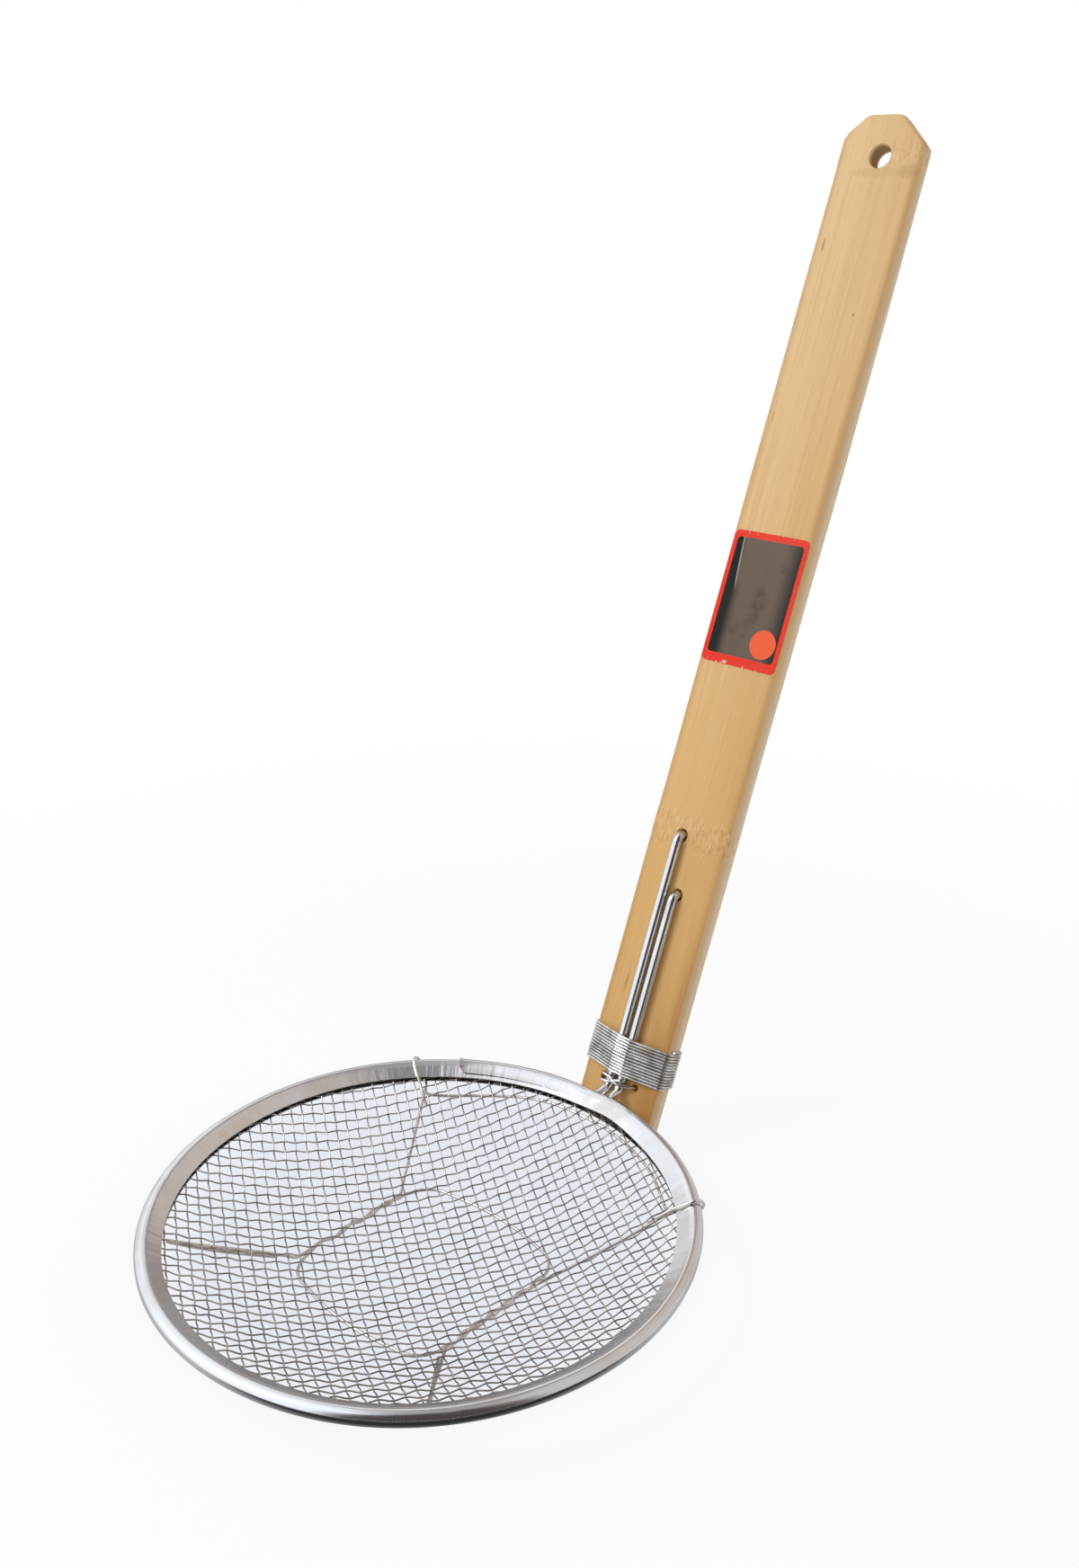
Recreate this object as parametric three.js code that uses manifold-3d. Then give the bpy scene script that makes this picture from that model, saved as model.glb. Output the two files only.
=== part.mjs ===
// Shallow noodle strainer: a woven wire bowl folded into a steel rim, carried by
// a bent hoop wire that is bound to the face of a flat bamboo handle.
// Millimetres, +Z up. The bowl's axis is vertical and the handle leans out along +X.
import * as THREE from "three";
import { mergeVertices } from "three/addons/utils/BufferGeometryUtils.js";
import Module from "manifold-3d";

const wasm = await Module();
wasm.setup();

// Room left between pieces that touch on the real object.
const CLEARANCE = 0.3;

// Rim: a steel strip folded round the hoop wire, with the mesh edge in its fold. The hoop wire
// lies higher than the mesh edge, so the strip's upper side slopes down into the bowl.
const RIM_DIAMETER = 180;
const RIM_WIDTH = 8.6;
const BAND_SHEET = 0.35;
const HOOP_WIRE = 3.5;
const HOOP_RISE = 1.2;

// Mesh bowl, drawn as an open net with a small flat bottom.
const MESH_FLOOR = 1.1;
const BOWL_DEPTH = 18.75;
const BOTTOM_RADIUS = 8;
const BOWL_CURVE = 1.88;
const MESH_PITCH = 13;
const MESH_BAR = 1;
const MESH_THICKNESS = 1.2;
const MESH_EDGE = 0.6;
const MESH_HEM = 2.5;
const HEM_RISE = 0.3;
const MESH_TURN = 57;

// Base ring under the bowl, a square with round corners and two bowed sides.
const RING_WIRE = 1.3;
const RING_LENGTH = 64;
const RING_WIDTH = 64;
const RING_CORNER = 11;
const RING_BOW = 2.5;
const RING_FLAT = 0.12;

// Rib wires: from under the rim, along one side of the ring, and over the rim as a hook.
const RIB_WIRE = 1.2;
const LEFT_BACK_ANGLE = 142;
const RIGHT_BACK_ANGLE = 131.5;
const RIB_FRONT_ANGLE = 47;
const RIB_TUCK = 1.8;
const HOOK_TAIL = 2.2;
const HOOK_DROP = 2.6;

// Stay wire under the mesh: angle from the handle, and share of the radius inside the rim.
const STAY_WIRE = 1.2;
const STAY_ROUTE = [
  [43, 0.909],
  [30, 0.929],
  [16, 0.964],
  [5, 0.979],
  [-10, 0.981],
  [-26, 0.98],
  [-41, 0.975],
];

// Bamboo handle: flat strip leaning away from the bowl's axis. Its top edge falls to the right.
const HANDLE_LEAN = 22.5;
const HANDLE_SETBACK = 7;
const HANDLE_WIDTH = 34;
const HANDLE_THICKNESS = 7.6;
const HANDLE_TOP = 354;
const HANDLE_BELOW = 13;
const HANDLE_EDGE = 1;
const TOP_FALL = 2.2;
const LEFT_CHAMFER_ACROSS = 7.8;
const LEFT_CHAMFER_ALONG = 6.8;
const RIGHT_CHAMFER_ACROSS = 8.2;
const RIGHT_CHAMFER_ALONG = 10.3;
const HANG_HOLE = 8;
const HANG_HOLE_SIDE = 0.6;
const HANG_HOLE_DOWN = 14.8;

// Legs of the hoop wire on the handle's face: place across the face, top ends, bend into
// the hole, and the neck where they leave the rim.
const LEFT_LEG_SIDE = -2.6;
const RIGHT_LEG_SIDE = 2.15;
const LEFT_LEG_TOP = 93.9;
const RIGHT_LEG_TOP = 72.9;
const LEG_BEND = 2.6;
const LEG_DEPTH = 5.5;
const LEG_START = 4;
const NECK_BEND = 4.6;
const NECK_LEAD = 4;
const NOTCH_ROOM = 0.45;

// Binding wire round the handle and both legs.
const BINDING_WIRE = 0.6;
const BINDING_PITCH = 1.08;
const BINDING_TURNS = 13;
const BINDING_START = 5;

// Tie wire through two holes in the handle, over both legs at the neck.
const TIE_WIRE = 1.2;
const TIE_ALONG = 1.4;
const TIE_SPREAD = 14.5;
const TIE_HOLE_ROOM = 0.7;

// Paper label on the handle's face.
const LABEL_WIDTH = 31.6;
const LABEL_LENGTH = 48;
const LABEL_THICKNESS = 0.3;
const LABEL_MIDDLE = 181;
const LABEL_CORNER = 2;

// Facets.
const ROUND_STEPS = 72;
const WIRE_SIDES = 8;
const FINE_WIRE_SIDES = 6;
const HOLE_STEPS = 24;
const FOLD_STEPS = 8;
const NECK_STEPS = 18;
const LEG_STEPS = 3;
const BEND_STEPS = 4;
const ARM_STEPS = 8;
const HOOK_STEPS = 10;
const STAY_STEPS = 28;
const CORNER_STEPS = 3;
const TIE_STEPS = 44;

// Heights and radii that follow from the sizes above.
const rad = THREE.MathUtils.degToRad;
const ringHeight = RING_WIRE / 2 - RING_FLAT;
const foldHeight = MESH_FLOOR + BOWL_DEPTH;
const beadRadius = HOOP_WIRE / 2 + CLEARANCE + BAND_SHEET;
const hoopHeight = foldHeight + HOOP_RISE;
const hoopRadius = RIM_DIAMETER / 2 - beadRadius;
const rimTop = hoopHeight + beadRadius;
const rimInside = RIM_DIAMETER / 2 - RIM_WIDTH;
const legOut = HOOP_WIRE / 2 + CLEARANCE;

// Handle frame: X across the face, Y up the handle, Z out of the face that looks at the bowl.
const handleAcross = new THREE.Vector3(0, -1, 0);
const handleUp = new THREE.Vector3(Math.sin(rad(HANDLE_LEAN)), 0, Math.cos(rad(HANDLE_LEAN)));
const handleOut = new THREE.Vector3().crossVectors(handleAcross, handleUp);
const handleFrame = new THREE.Matrix4()
  .makeBasis(handleAcross, handleUp, handleOut)
  .setPosition(RIM_DIAMETER / 2 + HANDLE_SETBACK, 0, rimTop);

function onHandle(across, along, out) {
  return new THREE.Vector3(across, along, out).applyMatrix4(handleFrame);
}

function polar(radius, angle, height) {
  return new THREE.Vector3(radius * Math.cos(angle), radius * Math.sin(angle), height);
}

function mirrored(point) {
  return new THREE.Vector3(point.x, -point.y, point.z);
}

// Share of the way up the bowl, height of the middle of the mesh over the floor, and its slope,
// at a distance from the axis.
function meshReach(radius) {
  return Math.max(0, radius - BOTTOM_RADIUS) / (rimInside - BOTTOM_RADIUS);
}

function meshHeight(radius) {
  return MESH_FLOOR + BOWL_DEPTH * meshReach(radius) ** BOWL_CURVE;
}

function meshSlope(radius) {
  const steepest = (BOWL_CURVE * BOWL_DEPTH) / (rimInside - BOTTOM_RADIUS);
  return steepest * meshReach(radius) ** (BOWL_CURVE - 1);
}

// Height of a wire's middle where it lies against the underside of the mesh.
function heightUnderMesh(radius, wire) {
  const apart = MESH_THICKNESS / 2 + CLEARANCE + wire / 2;
  return meshHeight(radius) - apart * Math.hypot(1, meshSlope(radius));
}

// A path through given points, followed point by point.
class BentWire extends THREE.Curve {
  constructor(points) {
    super();
    this.points = points;
  }

  getPoint(t, target = new THREE.Vector3()) {
    const place = t * (this.points.length - 1);
    const first = Math.min(Math.floor(place + 1e-9), this.points.length - 2);
    return target.lerpVectors(this.points[first], this.points[first + 1], place - first);
  }

  getPointAt(u, target) {
    return this.getPoint(u, target);
  }

  getTangentAt(u, target = new THREE.Vector3()) {
    const last = this.points.length - 1;
    const here = Math.round(u * last);
    const before = this.points[Math.max(here - 1, 0)];
    const after = this.points[Math.min(here + 1, last)];
    return target.subVectors(after, before).normalize();
  }
}

function roundSection(diameter, sides) {
  const corners = [];
  for (let i = 0; i < sides; i += 1) {
    const angle = (2 * Math.PI * i) / sides;
    corners.push(new THREE.Vector2(Math.cos(angle), Math.sin(angle)).multiplyScalar(diameter / 2));
  }
  return new THREE.Shape(corners);
}

function bentWire(points, diameter, sides) {
  return new THREE.ExtrudeGeometry(roundSection(diameter, sides), {
    steps: points.length - 1,
    extrudePath: new BentWire(points),
    bevelEnabled: false,
  });
}

function closedLathe(profile) {
  return new THREE.LatheGeometry([...profile, profile[0]], ROUND_STEPS).rotateX(Math.PI / 2);
}

function welded(geometry) {
  geometry.deleteAttribute("normal");
  geometry.deleteAttribute("uv");
  return mergeVertices(geometry, 1e-4);
}

function toSolid(geometry) {
  const closed = welded(geometry);
  return new wasm.Manifold(new wasm.Mesh({
    numProp: 3,
    vertProperties: new Float32Array(closed.attributes.position.array),
    triVerts: new Uint32Array(closed.index.array),
  }));
}

function toGeometry(solid) {
  const mesh = solid.getMesh();
  const geometry = new THREE.BufferGeometry();
  geometry.setAttribute("position", new THREE.BufferAttribute(mesh.vertProperties, mesh.numProp));
  geometry.setIndex(new THREE.BufferAttribute(mesh.triVerts, 1));
  return geometry;
}

function drill(across, along, diameter) {
  const radius = diameter / 2;
  return toSolid(new THREE.CylinderGeometry(radius, radius, 3 * HANDLE_THICKNESS, HOLE_STEPS)
    .rotateX(Math.PI / 2)
    .translate(across, along, -HANDLE_THICKNESS / 2));
}

// Bamboo handle: chamfered top, rounded edges, and holes for hook, legs and tie.
function bambooHandle() {
  const half = HANDLE_WIDTH / 2;
  const outline = new THREE.Shape([
    new THREE.Vector2(-half, -HANDLE_BELOW),
    new THREE.Vector2(half, -HANDLE_BELOW),
    new THREE.Vector2(half, HANDLE_TOP - TOP_FALL - RIGHT_CHAMFER_ALONG),
    new THREE.Vector2(half - RIGHT_CHAMFER_ACROSS, HANDLE_TOP - TOP_FALL),
    new THREE.Vector2(LEFT_CHAMFER_ACROSS - half, HANDLE_TOP),
    new THREE.Vector2(-half, HANDLE_TOP - LEFT_CHAMFER_ALONG),
  ]);
  const strip = new THREE.ExtrudeGeometry(outline, {
    depth: HANDLE_THICKNESS - 2 * HANDLE_EDGE,
    bevelThickness: HANDLE_EDGE,
    bevelSize: HANDLE_EDGE,
    bevelOffset: -HANDLE_EDGE,
    bevelSegments: 2,
  });
  strip.translate(0, 0, HANDLE_EDGE - HANDLE_THICKNESS);
  const legHole = HOOP_WIRE + 2 * CLEARANCE;
  const tieHole = TIE_WIRE + 2 * TIE_HOLE_ROOM;
  const holes = [
    drill(HANG_HOLE_SIDE, HANDLE_TOP - HANG_HOLE_DOWN, HANG_HOLE),
    drill(LEFT_LEG_SIDE, LEFT_LEG_TOP, legHole),
    drill(RIGHT_LEG_SIDE, RIGHT_LEG_TOP, legHole),
    drill(-TIE_SPREAD / 2, TIE_ALONG, tieHole),
    drill(TIE_SPREAD / 2, TIE_ALONG, tieHole),
  ];
  return toGeometry(holes.reduce((wood, hole) => wood.subtract(hole), toSolid(strip)));
}

// Path from the hoop's circle out through the rim and on to the handle's face.
function neckPath(across) {
  const turn = -Math.sign(across);
  const start = Math.asin((Math.abs(across) + NECK_BEND) / hoopRadius);
  const face = onHandle(across, 0, legOut);
  const reach = face.x - hoopRadius;
  const rise = face.z - hoopHeight;
  const bend = (out, sideways, up) => new THREE.Vector3(
    hoopRadius + out * reach,
    turn * (Math.abs(across) + sideways * NECK_BEND),
    hoopHeight + up * rise,
  );
  return new THREE.CatmullRomCurve3([
    polar(hoopRadius, turn * (start + rad(NECK_LEAD)), hoopHeight),
    polar(hoopRadius, turn * start, hoopHeight),
    bend(0.2, 0.3, 0.12),
    bend(0.6, 0.04, 0.42),
    bend(0.9, 0, 0.78),
    onHandle(across, 0.3 * LEG_START, legOut),
    onHandle(across, LEG_START, legOut),
  ]).getSpacedPoints(NECK_STEPS);
}

// One leg up the handle's face, ending in its hole.
function legPath(across, top) {
  const points = [];
  const straightTop = top - LEG_BEND;
  for (let i = 1; i <= LEG_STEPS; i += 1) {
    const along = LEG_START + ((straightTop - LEG_START) * i) / LEG_STEPS;
    points.push(onHandle(across, along, legOut));
  }
  for (let i = 1; i <= BEND_STEPS; i += 1) {
    const angle = (Math.PI / 2) * (i / BEND_STEPS);
    const along = straightTop + LEG_BEND * Math.sin(angle);
    points.push(onHandle(across, along, legOut - LEG_BEND * (1 - Math.cos(angle))));
  }
  points.push(onHandle(across, top, -LEG_DEPTH));
  return points;
}

const leftNeck = neckPath(LEFT_LEG_SIDE);
const rightNeck = neckPath(RIGHT_LEG_SIDE);

// Hoop wire: one wire up the left leg, round the rim and up the right leg.
function hoopWire() {
  const from = Math.atan2(leftNeck[0].y, leftNeck[0].x);
  const to = 2 * Math.PI + Math.atan2(rightNeck[0].y, rightNeck[0].x);
  const circle = [];
  for (let i = 1; i < ROUND_STEPS; i += 1) {
    circle.push(polar(hoopRadius, from + ((to - from) * i) / ROUND_STEPS, hoopHeight));
  }
  const path = [
    ...legPath(LEFT_LEG_SIDE, LEFT_LEG_TOP).reverse(),
    ...[...leftNeck].reverse(),
    ...circle,
    ...rightNeck,
    ...legPath(RIGHT_LEG_SIDE, RIGHT_LEG_TOP),
  ];
  return bentWire(path, HOOP_WIRE, WIRE_SIDES);
}

// Stretch of the folded strip's section: from a lip, tangent to a circle round the hoop wire,
// round the outside, and tangent again to the other lip.
function foldLine(upperLip, lowerLip, radius) {
  const angleOf = (lip, side) => {
    const away = Math.atan2(lip.y - hoopHeight, lip.x - hoopRadius);
    const distance = Math.hypot(lip.y - hoopHeight, lip.x - hoopRadius);
    const angle = away - side * Math.acos(radius / distance);
    const turned = THREE.MathUtils.euclideanModulo(angle, 2 * Math.PI);
    return side < 0 ? turned - 2 * Math.PI : turned;
  };
  const upper = angleOf(upperLip, 1);
  const lower = angleOf(lowerLip, -1);
  const points = [lowerLip];
  for (let i = 0; i <= FOLD_STEPS; i += 1) {
    const angle = lower + ((upper - lower) * i) / FOLD_STEPS;
    points.push(new THREE.Vector2(
      hoopRadius + radius * Math.cos(angle),
      hoopHeight + radius * Math.sin(angle),
    ));
  }
  points.push(upperLip);
  return points;
}

// Rim band: the strip folded over hoop and mesh edge, opened where the two legs leave it.
function rimBand() {
  const slit = MESH_EDGE / 2 + CLEARANCE;
  const lip = (offset) => new THREE.Vector2(rimInside, foldHeight + offset);
  const outside = foldLine(lip(slit + BAND_SHEET), lip(-slit - BAND_SHEET), beadRadius);
  const inside = foldLine(lip(slit), lip(-slit), beadRadius - BAND_SHEET);
  const strip = toSolid(closedLathe([...outside, ...inside.reverse()]));
  const notches = [leftNeck, rightNeck].map((neck) => {
    const leaving = neck.filter((point) => Math.hypot(point.x, point.y) > hoopRadius + BAND_SHEET / 8);
    return toSolid(bentWire(leaving, HOOP_WIRE + 2 * NOTCH_ROOM, WIRE_SIDES));
  });
  return toGeometry(notches.reduce((band, notch) => band.subtract(notch), strip));
}

// Square net of bars that follows the bowl's curve, as one closed sheet.
function netSheet(reach) {
  const bars = 2 * Math.ceil(reach / MESH_PITCH) + 1;
  const cuts = [];
  for (let i = 0; i < bars; i += 1) {
    const middle = (i - (bars - 1) / 2) * MESH_PITCH;
    cuts.push(middle - MESH_BAR / 2, middle + MESH_BAR / 2);
  }
  const positions = [];
  const turn = rad(MESH_TURN);
  for (const offset of [MESH_THICKNESS / 2, -MESH_THICKNESS / 2]) {
    for (const b of cuts) {
      for (const a of cuts) {
        const x = a * Math.cos(turn) - b * Math.sin(turn);
        const y = a * Math.sin(turn) + b * Math.cos(turn);
        positions.push(x, y, meshHeight(Math.hypot(x, y)) + offset);
      }
    }
  }
  const side = cuts.length;
  const corner = (i, j, below) => (below ? side * side : 0) + j * side + i;
  const filled = (i, j) => i >= 0 && j >= 0 && i < side - 1 && j < side - 1
    && (i % 2 === 0 || j % 2 === 0);
  const faces = [];
  const quad = (a, b, c, d) => faces.push(a, b, c, a, c, d);
  for (let j = 0; j < side - 1; j += 1) {
    for (let i = 0; i < side - 1; i += 1) {
      if (filled(i, j)) {
        const ring = [[i, j], [i + 1, j], [i + 1, j + 1], [i, j + 1]];
        quad(...ring.map(([u, v]) => corner(u, v, false)));
        quad(...ring.map(([u, v]) => corner(u, v, true)).reverse());
        const beyond = [[i, j - 1], [i + 1, j], [i, j + 1], [i - 1, j]];
        beyond.forEach(([u, v], k) => {
          if (!filled(u, v)) {
            const from = ring[k];
            const to = ring[(k + 1) % 4];
            quad(corner(...from, true), corner(...to, true), corner(...to, false), corner(...from, false));
          }
        });
      }
    }
  }
  const geometry = new THREE.BufferGeometry();
  geometry.setAttribute("position", new THREE.Float32BufferAttribute(positions, 3));
  geometry.setIndex(faces);
  return geometry;
}

// Mesh bowl: the net, trimmed round and joined to a hem that sits in the rim's fold.
function meshBowl() {
  const trim = rimInside - MESH_EDGE / 2 - CLEARANCE - MESH_THICKNESS / 2;
  const tall = 4 * BOWL_DEPTH;
  const disc = new THREE.CylinderGeometry(trim, trim, tall, ROUND_STEPS).rotateX(Math.PI / 2);
  const net = toSolid(netSheet(rimInside)).intersect(toSolid(disc));
  const inner = trim - MESH_THICKNESS;
  const hemLine = [
    new THREE.Vector2(inner, meshHeight(inner)),
    new THREE.Vector2(rimInside - MESH_EDGE, foldHeight),
    new THREE.Vector2(rimInside + MESH_EDGE / 2, foldHeight),
    new THREE.Vector2(rimInside + MESH_HEM, foldHeight + HEM_RISE),
  ];
  const below = hemLine.map((point) => new THREE.Vector2(point.x, point.y - MESH_EDGE / 2));
  const above = hemLine.map((point) => new THREE.Vector2(point.x, point.y + MESH_EDGE / 2));
  const hem = toSolid(closedLathe([...below, ...above.reverse()]));
  return toGeometry(net.add(hem));
}

// Base ring: a closed loop of wire with a narrow flat where it stands.
function baseRing() {
  const halfLength = RING_LENGTH / 2;
  const halfWidth = RING_WIDTH / 2;
  const x = halfLength - RING_CORNER;
  const y = halfWidth - RING_CORNER;
  const loop = new THREE.Path();
  loop.moveTo(-x, -halfWidth);
  loop.lineTo(x, -halfWidth);
  loop.absarc(x, -y, RING_CORNER, -Math.PI / 2, 0);
  loop.quadraticCurveTo(halfLength + 2 * RING_BOW, 0, halfLength, y);
  loop.absarc(x, y, RING_CORNER, 0, Math.PI / 2);
  loop.lineTo(-x, halfWidth);
  loop.absarc(-x, y, RING_CORNER, Math.PI / 2, Math.PI);
  loop.quadraticCurveTo(-halfLength - 2 * RING_BOW, 0, -halfLength, -y);
  loop.absarc(-x, -y, RING_CORNER, Math.PI, 1.5 * Math.PI);
  const route = loop.getSpacedPoints(ROUND_STEPS);
  route.pop();
  const curve = new THREE.CatmullRomCurve3(
    route.map((point) => new THREE.Vector3(point.x, point.y, ringHeight)),
    true,
  );
  const wire = toSolid(new THREE.TubeGeometry(curve, ROUND_STEPS, RING_WIRE / 2, WIRE_SIDES, true));
  const floor = new THREE.BoxGeometry(2 * RIM_DIAMETER, 2 * RIM_DIAMETER, RING_WIRE);
  return toGeometry(wire.subtract(toSolid(floor.translate(0, 0, -RING_WIRE / 2))));
}

// An arm of a rib, level by level under the mesh, between two places seen from above.
function armPath(from, to) {
  const points = [];
  for (let i = 0; i <= ARM_STEPS; i += 1) {
    const place = new THREE.Vector2().lerpVectors(from, to, i / ARM_STEPS);
    points.push(new THREE.Vector3(place.x, place.y, heightUnderMesh(place.length(), RIB_WIRE)));
  }
  return points;
}

// Rib wire on one side of the handle's plane.
function ribWire(backAngle, place) {
  const runY = RING_WIDTH / 2 + RING_WIRE / 2 + CLEARANCE + RIB_WIRE / 2;
  const runX = RING_LENGTH / 2 - RING_CORNER;
  const runHeight = RIB_WIRE / 2 + RING_FLAT;
  const hookRadius = beadRadius + CLEARANCE + RIB_WIRE / 2;
  const armEnd = rimInside - RIB_WIRE;
  const cornerX = runX + RING_CORNER / 2;
  const flat = (point) => new THREE.Vector2(point.x, point.y);
  const slit = MESH_EDGE / 2 + CLEARANCE;
  const underLip = foldHeight - slit - BAND_SHEET - CLEARANCE - RIB_WIRE / 2;
  const tucked = (angle) => polar(rimInside + RIB_TUCK, angle, underLip);
  const back = rad(backAngle);
  const front = rad(RIB_FRONT_ANGLE);
  const run = [-1, -0.5, 0, 0.5, 1].map((share) => new THREE.Vector3(share * runX, runY, runHeight));
  const outer = armPath(flat(polar(armEnd, back, 0)), new THREE.Vector2(-cornerX, runY));
  const inner = armPath(new THREE.Vector2(cornerX, runY), flat(polar(armEnd, front, 0)));
  const hook = [];
  for (let i = 1; i <= HOOK_STEPS; i += 1) {
    const angle = Math.PI * (i / HOOK_STEPS - 0.5);
    hook.push(polar(
      hoopRadius + hookRadius * Math.cos(angle),
      front,
      hoopHeight + hookRadius * Math.sin(angle),
    ));
  }
  const overTop = hoopHeight + hookRadius;
  const tail = [
    polar(rimInside + RIB_TUCK, front, overTop - HOOK_DROP / 3),
    polar(rimInside - HOOK_TAIL, front, overTop - HOOK_DROP),
  ];
  const path = [tucked(back), ...outer, ...run, ...inner, tucked(front), ...hook, ...tail];
  return bentWire(path.map(place), RIB_WIRE, FINE_WIRE_SIDES);
}

// Stay wire close under the mesh, from hook to hook on the handle's side.
function stayWire() {
  const route = STAY_ROUTE.map(([angle, share]) => {
    const radius = share * rimInside;
    return polar(radius, rad(angle), heightUnderMesh(radius, STAY_WIRE));
  });
  const path = new THREE.CatmullRomCurve3(route).getSpacedPoints(STAY_STEPS);
  return bentWire(path, STAY_WIRE, FINE_WIRE_SIDES);
}

// Closed line, counter-clockwise, stretched round circles given in that order.
function stretchedRound(circles) {
  const count = circles.length;
  const leaving = circles.map((circle, i) => {
    const next = circles[(i + 1) % count];
    const reach = new THREE.Vector2().subVectors(next.middle, circle.middle);
    return reach.angle() - Math.acos((circle.radius - next.radius) / reach.length());
  });
  const points = [];
  circles.forEach((circle, i) => {
    const from = leaving[(i + count - 1) % count];
    const sweep = THREE.MathUtils.euclideanModulo(leaving[i] - from, 2 * Math.PI);
    for (let k = 0; k <= CORNER_STEPS; k += 1) {
      const angle = from + (sweep * k) / CORNER_STEPS;
      points.push(new THREE.Vector2(Math.cos(angle), Math.sin(angle))
        .multiplyScalar(circle.radius)
        .add(circle.middle));
    }
  });
  return points;
}

// Least gap between stretches of a wire that lie more than half a turn apart.
function leastGap(points, perTurn, diameter) {
  let least = Infinity;
  for (let i = 0; i < points.length; i += 1) {
    for (let j = i + Math.ceil(perTurn / 2); j < points.length; j += 1) {
      least = Math.min(least, points[i].distanceTo(points[j]));
    }
  }
  return least - diameter;
}

// Binding wire: one unbroken helix drawn tight over the handle's corners and both legs.
function bindingWire() {
  const stand = CLEARANCE + BINDING_WIRE / 2;
  const edge = HANDLE_WIDTH / 2 - HANDLE_EDGE;
  const back = HANDLE_EDGE - HANDLE_THICKNESS;
  const circle = (across, out, radius) => ({
    middle: new THREE.Vector2(across, out),
    radius: radius + stand,
  });
  const loop = stretchedRound([
    circle(edge, -HANDLE_EDGE, HANDLE_EDGE),
    circle(RIGHT_LEG_SIDE, legOut, HOOP_WIRE / 2),
    circle(LEFT_LEG_SIDE, legOut, HOOP_WIRE / 2),
    circle(-edge, -HANDLE_EDGE, HANDLE_EDGE),
    circle(-edge, back, HANDLE_EDGE),
    circle(edge, back, HANDLE_EDGE),
  ]);
  const path = [];
  for (let i = 0; i <= BINDING_TURNS * loop.length; i += 1) {
    const point = loop[i % loop.length];
    path.push(new THREE.Vector3(point.x, BINDING_START + (BINDING_PITCH * i) / loop.length, point.y));
  }
  console.log(`binding wire least gap ${leastGap(path, loop.length, BINDING_WIRE).toFixed(3)} mm`);
  return bentWire(path, BINDING_WIRE, FINE_WIRE_SIDES);
}

// Tie wire: a closed loop through both tie holes, over the legs and across the handle's back.
function tieWire() {
  const side = TIE_SPREAD / 2;
  const stand = CLEARANCE + TIE_WIRE / 2;
  const front = legOut + HOOP_WIRE / 2 + stand;
  const back = -HANDLE_THICKNESS - stand;
  const route = [
    [side, back + TIE_WIRE],
    [side, 0],
    [(side + RIGHT_LEG_SIDE) / 2 + TIE_WIRE, front * 0.8],
    [RIGHT_LEG_SIDE, front],
    [LEFT_LEG_SIDE, front],
    [-side + TIE_WIRE / 2, front * 0.7],
    [-side, 0],
    [-side, back + TIE_WIRE],
    [-side + TIE_WIRE, back],
    [0, back],
    [side - TIE_WIRE, back],
  ];
  const curve = new THREE.CatmullRomCurve3(
    route.map(([across, out]) => new THREE.Vector3(across, TIE_ALONG, out)),
    true,
  );
  return new THREE.TubeGeometry(curve, TIE_STEPS, TIE_WIRE / 2, FINE_WIRE_SIDES, true);
}

// Label: a thin sheet with round corners.
function label() {
  const x = LABEL_WIDTH / 2 - LABEL_CORNER;
  const y = LABEL_LENGTH / 2 - LABEL_CORNER;
  const outline = new THREE.Shape();
  outline.absarc(x, y, LABEL_CORNER, 0, Math.PI / 2);
  outline.absarc(-x, y, LABEL_CORNER, Math.PI / 2, Math.PI);
  outline.absarc(-x, -y, LABEL_CORNER, Math.PI, 1.5 * Math.PI);
  outline.absarc(x, -y, LABEL_CORNER, 1.5 * Math.PI, 2 * Math.PI);
  const sheet = new THREE.ExtrudeGeometry(outline, {
    depth: LABEL_THICKNESS,
    bevelEnabled: false,
    curveSegments: 4,
  });
  return sheet.translate(0, LABEL_MIDDLE, CLEARANCE);
}

const bamboo = new THREE.MeshStandardMaterial({ color: 0xd6ab6c, roughness: 0.55, metalness: 0 });
const steelSheet = new THREE.MeshStandardMaterial({ color: 0xc2c5ca, roughness: 0.32, metalness: 1 });
const steelWire = new THREE.MeshStandardMaterial({ color: 0xb4b4b2, roughness: 0.28, metalness: 1 });
const meshWire = new THREE.MeshStandardMaterial({ color: 0x9c958a, roughness: 0.38, metalness: 1 });
const paper = new THREE.MeshStandardMaterial({ color: 0x2b2523, roughness: 0.5, metalness: 0 });

function piece(name, geometry, material) {
  const mesh = new THREE.Mesh(welded(geometry), material);
  mesh.geometry.computeVertexNormals();
  mesh.name = name;
  return mesh;
}

const handleGroup = new THREE.Group();
handleGroup.applyMatrix4(handleFrame);
handleGroup.add(
  piece("bamboo_handle", bambooHandle(), bamboo),
  piece("binding_wire", bindingWire(), steelWire),
  piece("neck_tie_wire", tieWire(), steelWire),
  piece("label", label(), paper),
);

const bowlGroup = new THREE.Group();
bowlGroup.add(
  piece("hoop_wire", hoopWire(), steelWire),
  piece("rim_band", rimBand(), steelSheet),
  piece("mesh_bowl", meshBowl(), meshWire),
  piece("base_ring", baseRing(), steelWire),
  piece("rib_wire_left", ribWire(LEFT_BACK_ANGLE, (point) => point), steelWire),
  piece("rib_wire_right", ribWire(RIGHT_BACK_ANGLE, mirrored), steelWire),
  piece("stay_wire", stayWire(), steelWire),
);

// The strainer's origin is the bottom centre of the box round it.
const strainer = new THREE.Group();
strainer.add(handleGroup, bowlGroup);
strainer.updateMatrixWorld(true);
const box = new THREE.Box3().setFromObject(strainer, true);
const centre = box.getCenter(new THREE.Vector3());
strainer.position.set(-centre.x, -centre.y, -box.min.z);
strainer.updateMatrixWorld(true);

export default strainer;
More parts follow.
